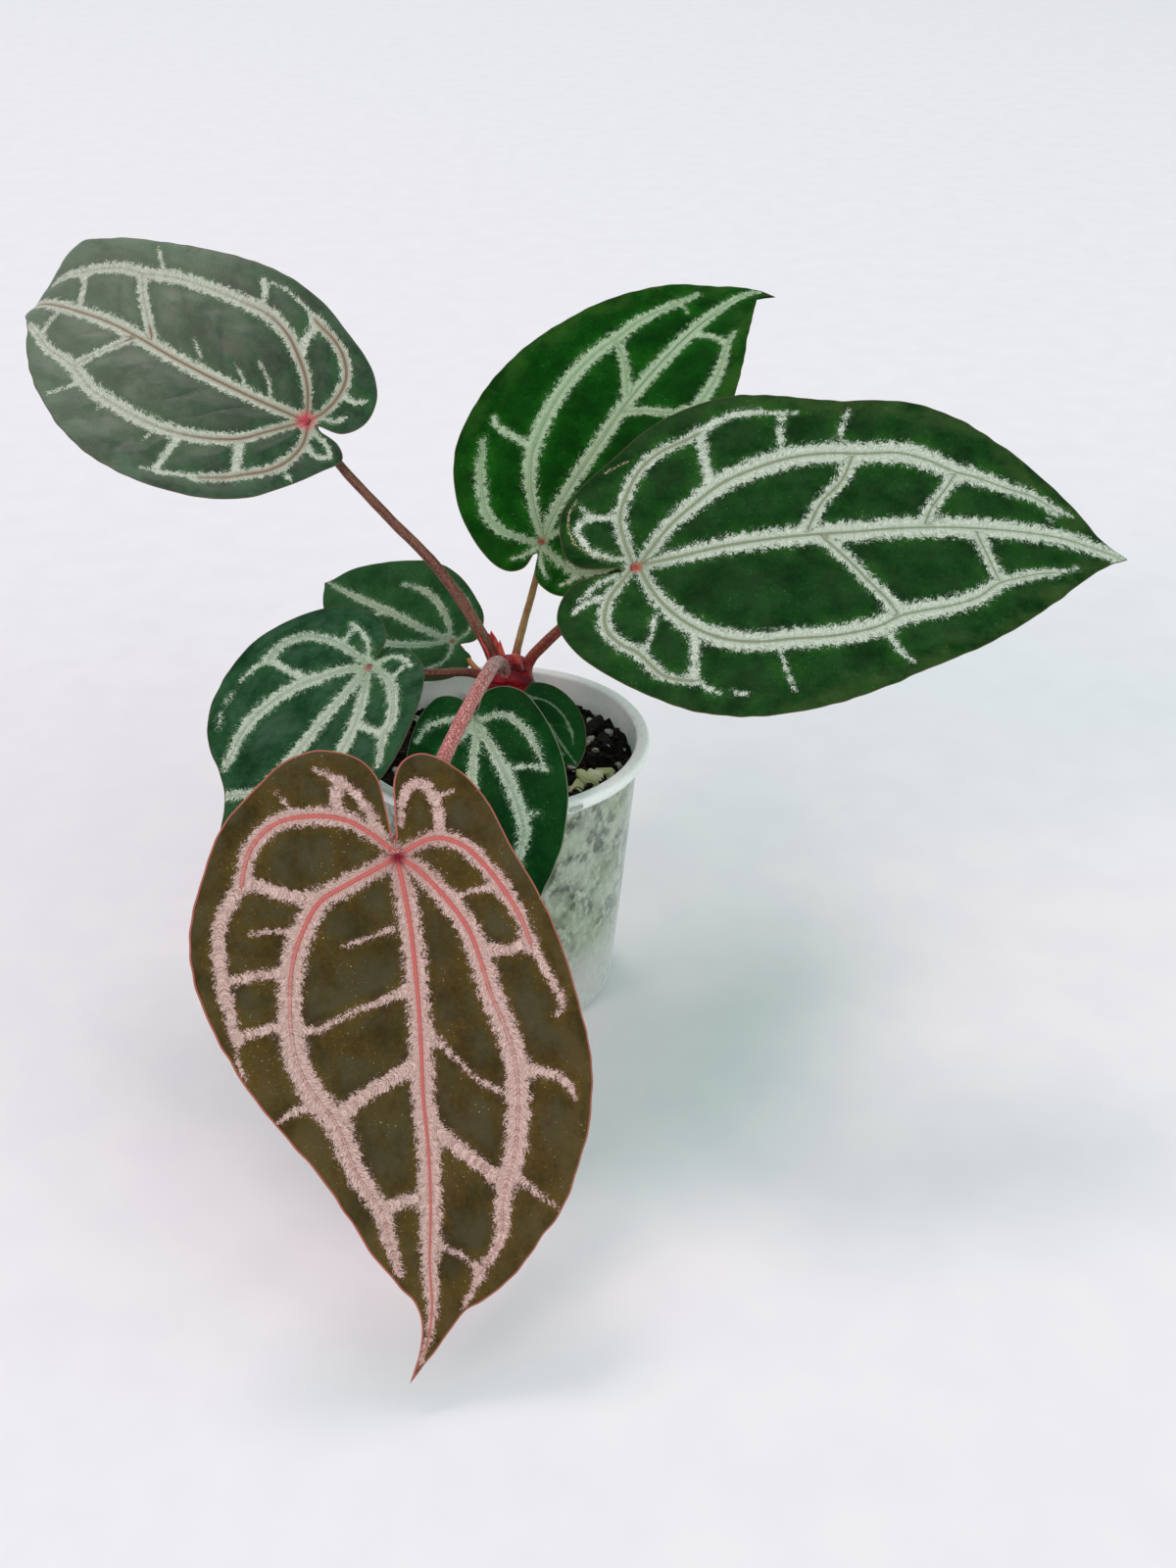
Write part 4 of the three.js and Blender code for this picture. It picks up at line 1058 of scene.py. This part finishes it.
def make_root_tips():
    """Short root tips round the stem. Every second one bends down into the mix."""
    random = np.random.default_rng(12)
    count = 9
    tubes = []
    for number in range(count):
        turn = number * 2 * math.pi / count + random.uniform(-0.25, 0.25)
        way = np.array([math.cos(turn), math.sin(turn), 0])
        start = np.array([STEM_X, 0, random.uniform(83, 93)]) + 3.5 * way
        reach = random.uniform(2.5, 5.5)
        path = [start, start + way * reach * 0.6 - [0, 0, 0.8], start + way * reach - [0, 0, 3.0]]
        if number % 2:
            path.append(start + way * (reach + 1.5) - [0, 0, start[2] - 78])
        tubes.append(tube(path, lambda t: 1.05 - 0.45 * t, 16, 12, 0.08, number)[:2])
    points, faces, _ = joined(tubes)
    add_piece("root_tips", points, faces, [root_material()])


# Pot

def wall_radius(z):
    return POT["base"] + POT_FLARE * z / POT["height"]


def pot_material():
    """Translucent plastic: the mix shows through it as grey-green mottling, and the rim is clear white."""
    shader = Shader("pot_plastic_clear", Specular_IOR_Level=0.3, Sheen_Weight=0.6, Sheen_Roughness=0.3,
                    Coat_Weight=0.4, Coat_Roughness=0.15, Subsurface_Weight=0.5, Subsurface_Scale=0.004,
                    Subsurface_Radius=(1.0, 1.0, 0.9))
    place = shader.place()
    x, y, z = shader.parts(place)
    broad = shader.noise(place, 0.06, 3.0, 0.6)
    medium = shader.noise(place, 0.17, 5.0, 0.62)
    small = shader.noise(shader.stretch(place, 1, 1, 0.6), 0.6, 3.0, 0.6)
    seen = medium * 0.75 + small * 0.25
    colour = shader.mix(seen.step(0.43, 0.6), "#434a3b", "#abb29e")
    colour = shader.mix(broad.step(0.46, 0.58, 0.0, 0.5), colour, "#8f9c6c")
    colour = shader.mix(small.step(0.55, 0.8, 0.0, 0.7), colour, "#d6dac8")
    colour = shader.mix(medium.step(0.4, 0.32, 0.0, 0.8), colour, "#3a4034")
    bark = shader.cells(place, 0.16)
    colour = shader.mix(bark.step(0.28, 0.12, 0.0, 0.35), colour, "#6d5a42")
    low = z + medium * 22.0
    colour = shader.mix(low.step(48.0, 22.0, 0.0, 0.9), colour, "#cbc2c2")
    haze = shader.noise(place, 0.12, 2.0)
    colour = shader.mix(haze.step(0.35, 0.65, 0.05, 0.4), colour, "#bcc0ba")

    # The clear rim starts lower on the inside of the wall, down to the mix
    clear_from, lower_inside = 81.4, 5.0
    reach = shader.length(shader.together(x, y))
    outer = shader.maths("ADD", POT["base"], z * (POT_FLARE / POT["height"]))
    within = (outer - reach).step(0.3, 0.9)
    above = (z - (clear_from - within * lower_inside)).step(0.0, 1.6)
    clear = shader.mix(small.step(0.3, 0.75), "#f6f8f5", "#ffffff")
    colour = shader.mix(above, colour, clear)
    scuffs = shader.noise(shader.stretch(place, 1, 1, 0.5), 0.5, 3.0, 0.6)
    surface = shader.bump(scuffs, 0.00004, 0.3, shader.bump(broad, 0.0008, 0.4))
    return shader.set(Base_Color=colour, Roughness=scuffs.step(0.3, 0.75, 0.22, 0.42), Normal=surface)


def ring_corner(centre, radius, start, end, count=6):
    """Points of an arc in a lathe profile, with angles in degrees."""
    turns = np.radians(np.linspace(start, end, count))
    return [[centre[0] + radius * math.cos(a), centre[1] + radius * math.sin(a)] for a in turns]


def drill_drain_holes(piece):
    """Cuts the round drain holes through the pot's base, with no drill corner on the base's radial edges."""
    sides = 32
    turn = (np.arange(sides) + 0.5) / sides * 2 * np.pi
    drills = []
    for hole in range(DRAIN["holes"]):
        way = (hole + 0.5) / DRAIN["holes"] * 2 * math.pi
        middle = np.array([math.cos(way), math.sin(way), 0]) * DRAIN["ring"]
        ends = [middle + [0, 0, z] for z in (-2, POT["floor"] + 2)]
        rings = [level_ring(DRAIN["radius"], turn, 0) + end for end in ends]
        drills.append((np.vstack([*rings, ends]), closed_faces(2, sides)))
    points, faces, _ = joined(drills)
    cutter = add_object("drills", new_mesh("drills", points, faces))
    cut = piece.modifiers.new("drain_holes", "BOOLEAN")
    cut.object = cutter
    cut.solver = "EXACT"
    scene_now = bpy.context.evaluated_depsgraph_get()
    piece.data = bpy.data.meshes.new_from_object(piece.evaluated_get(scene_now))
    piece.modifiers.clear()
    bpy.data.objects.remove(cutter)


def make_pot():
    """The pot wall with a rolled rim, a small foot ring and drain holes, as one thin lathed shell."""
    height, rim, mouth, base = POT["height"], POT["rim"], POT["mouth"], POT["base"]
    lip, skirt, wall, floor = POT["lip"], POT["skirt"], POT["wall"], POT["floor"]
    under = height - lip
    recess = 0.6
    profile = [[1.0, recess], [base - 8, recess], [base - 6.5, 0.05], *ring_corner((base - 2, 2), 2, -90, 0)]
    profile += [[wall_radius(z), z] for z in np.linspace(5, under - 0.8, 26)]
    profile += ring_corner((wall_radius(under) + 0.8, under - 0.8), 0.8, 180, 90, 5)
    profile += [[rim - lip, under], [rim - lip, height - skirt + 0.3]]
    profile += ring_corner((rim - lip / 2, height - skirt + 0.35), 0.35, 180, 360, 5)
    profile += ring_corner((rim - 1.2, height - 1.2), 1.2, 0, 90, 8)
    profile += ring_corner((mouth + 0.9, height - 0.9), 0.9, 90, 180, 6)
    profile += [[wall_radius(z) - wall, z] for z in np.linspace(height - 2.5, floor + 3, 20)]
    profile += [[base - wall - 1.2, floor], [1.0, floor]]
    around = 160
    rings = [level_ring(radius, round_turn(around), z) for radius, z in profile]
    points = np.vstack([*rings, [[0, 0, recess], [0, 0, floor]]])
    piece = add_piece("nursery_pot", points, closed_faces(len(profile), around), [pot_material()])
    drill_drain_holes(piece)
    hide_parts("pot")


def on_rim(turn, lift, z):
    """A point standing out from the rim's skirt, in the direction of the turn."""
    radius = POT["rim"] + lift
    return [radius * math.cos(turn), radius * math.sin(turn), z]


def make_panel():
    """The small blank moulded panel on the rim's skirt: a rounded plate with a raised border."""
    middle, half_width, half_height = math.radians(-90 + 31), 2.7, 1.2
    z_middle = POT["height"] - POT["skirt"] / 2 - 0.1
    squared = 0.45  # exponent that squares the oval into a rounded rectangle
    back, front = -0.3, 0.08
    loops = [(1.0, back), (1.0, 0.26), (0.88, 0.42), (0.72, 0.3), (0.62, front)]
    count = 48
    points = []
    for scale, lift in loops:
        inset = (1 - scale) * half_height
        for i in range(count):
            a = 2 * math.pi * i / count
            across, up = (
                math.copysign(max(0, abs(part) ** squared * half - inset), part)
                for part, half in ((math.cos(a), half_width), (math.sin(a), half_height)))
            points.append(on_rim(middle + across / POT["rim"], lift, z_middle + up))
    points += [on_rim(middle, lift, z_middle) for lift in (back, front)]
    faces = closed_faces(len(loops), count)
    in_field = np.arange(len(faces)) >= 3 * count
    field = Shader("panel_field", Roughness=0.35)
    dust = field.noise(field.place(), 1.5, 3.0)
    field.set(Base_Color=field.mix(dust.step(0.3, 0.7), "#8f9490", "#b4b8b2"))
    materials = [bpy.data.materials["pot_plastic_clear"], field.material]
    add_piece("blank_rim_panel", points, faces, materials, in_field)


# Potting mix

def mix_material(name, colours, scale, relief, roughness=0.85):
    """An earthy material of two colours and pale specks, varied from lump to lump by its tone attribute."""
    shader = Shader(name, Specular_IOR_Level=0.25, Roughness=roughness)
    place = shader.place()
    grain = shader.noise(place, scale, 4.0, 0.65)
    fine = shader.noise(place, scale * 3.5, 3.0, 0.7)
    shade = grain * 0.6 + shader.attribute("tone")[0] * 0.4
    colour = shader.mix(shade.step(0.3, 0.7), *colours[:2])
    colour = shader.mix(fine.step(0.55, 0.75, 0.0, 0.5), colour, colours[2])
    surface = shader.bump(fine, relief * 0.4, 0.6, shader.bump(grain, relief, 0.7))
    return shader.set(Base_Color=colour, Normal=surface)


def lump_shape(random, sizes, angular):
    """An irregular lump: a small ball, stretched, made angular and turned at random."""
    rows, columns = 5, 10
    tilt = np.linspace(0.0, math.pi, rows + 2)[1:-1]
    points = [[math.sin(a) * math.cos(b), math.sin(a) * math.sin(b), math.cos(a)]
              for a in tilt for b in round_turn(columns)]
    points = np.array([*points, [0, 0, 1], [0, 0, -1]])
    points = np.sign(points) * abs(points) ** angular
    seed = int(random.integers(1_000_000))
    points = points * (1 + 0.22 * ripples(points, 1.6, seed))[:, None] * sizes
    a, b, c = random.uniform(0, FULL_TURN), random.uniform(-0.5, 0.5), random.uniform(-0.5, 0.5)
    spin = np.array([[math.cos(a), -math.sin(a), 0], [math.sin(a), math.cos(a), 0], [0, 0, 1]])
    lean = np.array([[1, 0, 0], [0, math.cos(b), -math.sin(b)], [0, math.sin(b), math.cos(b)]])
    nod = np.array([[math.cos(c), 0, math.sin(c)], [0, 1, 0], [-math.sin(c), 0, math.cos(c)]])
    return points @ (spin @ lean @ nod).T, closed_faces(rows, columns, flip=True)


def soil_height(x, y):
    """Height of the mix's rough surface, lower near the wall."""
    places = np.stack([np.atleast_1d(x), np.atleast_1d(y)], 1)
    reach = np.hypot(places[:, 0], places[:, 1])
    rough = 0.9 * ripples(places, 9, 21) + 0.5 * ripples(places, 3.5, 22)
    return SOIL_TOP + 0.4 + rough - 1.6 * np.clip((reach - 33) / 7, 0, 1)


def add_to_mix(name, forms, tones, material, smooth=True):
    """Many forms of the mix as one piece, each with a tone of its own."""
    points, faces, owners = joined(forms)
    tone = [[tones[number], 0, 0] for number in owners]
    piece = add_piece(name, points, faces, [material], attributes={"tone": tone}, smooth=smooth)


def scatter(name, material, count, seed, size_range, stretch, angular, sink, spots=None, smooth=True):
    """Many lumps lying on the mix at random or at the given spots, as one piece."""
    random = np.random.default_rng(seed)
    lumps, tones = [], []
    for number in range(count):
        size = random.uniform(*size_range)
        if spots:
            x, y = spots[number % len(spots)]
        else:
            reach = LUMPS_REACH * math.sqrt(random.uniform(0.03, 1))
            turn = random.uniform(0, FULL_TURN)
            x, y = reach * math.cos(turn), reach * math.sin(turn)
        if math.hypot(x - STEM_X, y) < STEM_CLEARANCE:
            continue
        reach = math.hypot(x, y)
        most = LUMPS_EDGE - size * 0.7
        if reach > most:
            x, y = x * most / reach, y * most / reach
        sizes = size * np.array(stretch) * random.uniform(0.75, 1.25, 3)
        points, faces = lump_shape(random, sizes, angular)
        lumps.append((points + [x, y, soil_height(x, y)[0] + sizes[2] * sink], faces))
        tones.append(random.uniform(0, 1))
    add_to_mix(name, lumps, tones, material, smooth)


def make_soil():
    """The mix: a rough dark body, with bark, charcoal, perlite, fibres and pale chips on it."""
    around, rings = 150, 56
    inner = wall_radius(SOIL_TOP) - POT["wall"] - 0.25
    bottom = POT["floor"] + 0.4
    turn = round_turn(around)
    rows = []
    for ring in range(1, rings + 1):
        reach = inner * ring / rings
        x, y = reach * np.cos(turn), reach * np.sin(turn)
        grain = 0.35 * ripples(np.stack([x, y], 1), 1.3, 23)
        rows.append(level_ring(reach, turn, soil_height(x, y) + grain))
    for z in np.linspace(SOIL_TOP - 6, bottom, 8):
        rows.append(level_ring(wall_radius(z) - POT["wall"] - 0.35, turn, z))
    points = np.vstack([*rows, [[0, 0, soil_height(0, 0)[0]], [0, 0, bottom]]])
    dark = mix_material("mix_ground", ["#0b0806", "#2a1c13", "#4a3828"], 0.9, 0.0012)
    body = add_piece("mix_body", points, closed_faces(len(rows), around, flip=True), [dark],
                     attributes={"tone": np.full((len(points), 3), 0.3)})
    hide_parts("soil")

    bark = mix_material("bark", ["#130b07", "#38221a", "#6e4e3a"], 0.45, 0.0008)
    coal = mix_material("charcoal", ["#070606", "#1d1815", "#3a332c"], 0.8, 0.0006)
    perlite = mix_material("perlite", ["#b9b3a6", "#e9e6de", "#ffffff"], 0.8, 0.0005, 0.7)
    moss = mix_material("pale_chip", ["#d2d69c", "#f0f2d0", "#ffffff"], 0.5, 0.0005, 0.7)
    scatter("crumbs", coal, 1300, 31, (0.35, 1.2), (1.2, 1.0, 0.8), 0.8, 0.35)
    scatter("bark_crumbs", bark, 300, 34, (0.4, 1.1), (1.6, 0.9, 0.6), 0.7, 0.6, smooth=False)
    scatter("bark_chips", bark, 45, 32, (0.9, 2.2), (1.6, 0.9, 0.5), 0.55, 0.4, smooth=False)
    scatter("perlite_grains", perlite, 90, 33, (0.35, 1.3), (1.1, 1.0, 0.9), 0.9, 0.5)
    front_chips = [(29, -14.5), (26.5, -16.5), (31.5, -12.5), (24, -18.8), (21.5, -27)]
    scatter("pale_chips", moss, 5, 35, (1.7, 2.7), (1.4, 0.8, 0.55), 0.42, 0.8, front_chips, smooth=False)
    bright = [(26.5, 7), (29, 1), (33, 14), (22, -8), (-21, 15), (-26, 20), (-30, -8), (30.5, 22)]
    scatter("large_perlite", perlite, 8, 36, (1.0, 1.7), (1.1, 1.0, 0.8), 0.75, 0.6, bright)
    logs = [(24, 22), (28, 15), (20, 27), (32, 8), (-18, 24), (-30, 10), (-12, -30), (12, -30)]
    scatter("large_bark", bark, 8, 37, (2.2, 3.4), (1.7, 0.8, 0.5), 0.5, 0.4, logs, smooth=False)
    make_fibres(bark)


def make_fibres(material):
    """Thin fibres that wander over the mix."""
    random = np.random.default_rng(41)
    fibres, tones = [], []
    for _ in range(70):
        reach, turn = 36 * math.sqrt(random.uniform(0.08, 1)), random.uniform(0, FULL_TURN)
        x, y = reach * math.cos(turn), reach * math.sin(turn)
        heading = random.uniform(0, FULL_TURN)
        path = []
        for _ in range(4):
            path.append([x, y, soil_height(x, y)[0] + random.uniform(0.3, 1.4)])
            heading += random.uniform(-0.9, 0.9)
            x += random.uniform(1.5, 3) * math.cos(heading)
            y += random.uniform(1.5, 3) * math.sin(heading)
            if math.hypot(x, y) > 38:
                x, y = x * 0.92, y * 0.92
        fibres.append(tube(path, lambda t: 0.22 - 0.12 * t, 12, 6)[:2])
        tones.append(random.uniform(0.2, 1))
    add_to_mix("fibres", fibres, tones, material)


# The scene around it

def make_floor():
    half = 12000
    corners = [(-half, -half, 0), (half, -half, 0), (half, half, 0), (-half, half, 0)]
    floor = add_object("floor", new_mesh("floor", corners, [(0, 1, 2, 3)]))
    shader = Shader("floor_paper", Roughness=0.75, Specular_IOR_Level=0.25)
    grain = shader.noise(shader.place(), 0.05, 2.0)
    paper = shader.set(Base_Color=shader.mix(grain.step(0.3, 0.7), "#eae9ee", "#edecf0"))
    floor.data.materials.append(paper)


def add_light(name, place, aim, size, power, colour):
    data = bpy.data.lights.new(name, "AREA")
    data.shape = "DISK"
    data.size = size
    data.energy = power
    data.color = colour
    light = add_object(name, data)
    light.location = place
    light.rotation_euler = (Vector(aim) - Vector(place)).to_track_quat("-Z", "Y").to_euler()


def make_lights():
    world = bpy.data.worlds.new("studio")
    world.use_nodes = True
    background = world.node_tree.nodes["Background"]
    background.inputs[0].default_value = (0.8, 0.97, 0.95, 1)
    background.inputs[1].default_value = 0.72
    bpy.context.scene.world = world
    add_light("window", (-3.4, -3.9, 3.1), (0, 0, 0.05), 2.6, 124, (1.0, 0.56, 0.65))
    add_light("fill", (2.4, -2.2, 1.3), (0.05, 0, 0.05), 2.2, 28, (0.8, 1.0, 0.85))
    add_light("ceiling", (-1.2, 3.0, 5.8), (0, 0, 0.05), 1.8, 112, (1.0, 0.74, 0.8))
    bpy.context.scene.view_settings.view_transform = "Standard"


def make_camera():
    """The photograph's camera: a normal lens from the front, looking 31 degrees down."""
    data = bpy.data.cameras.new("camera")
    data.lens = 40.5
    data.sensor_width = 36
    camera = add_object("camera", data)
    camera.location = (0.0267, -0.4556, 0.3425)
    camera.rotation_euler = (math.radians(90 - 31), 0, 0)
    bpy.context.scene.camera = camera


for leaf_name, leaf_table in LEAVES.items():
    make_blade(leaf_name, leaf_table, {**DARK_LEAF, **LOOKS[leaf_name]})
    make_stalk(leaf_name, leaf_table)
make_stem()
make_bract()
make_bud()
make_root_tips()
make_pot()
make_panel()
make_soil()
make_floor()
make_lights()
make_camera()
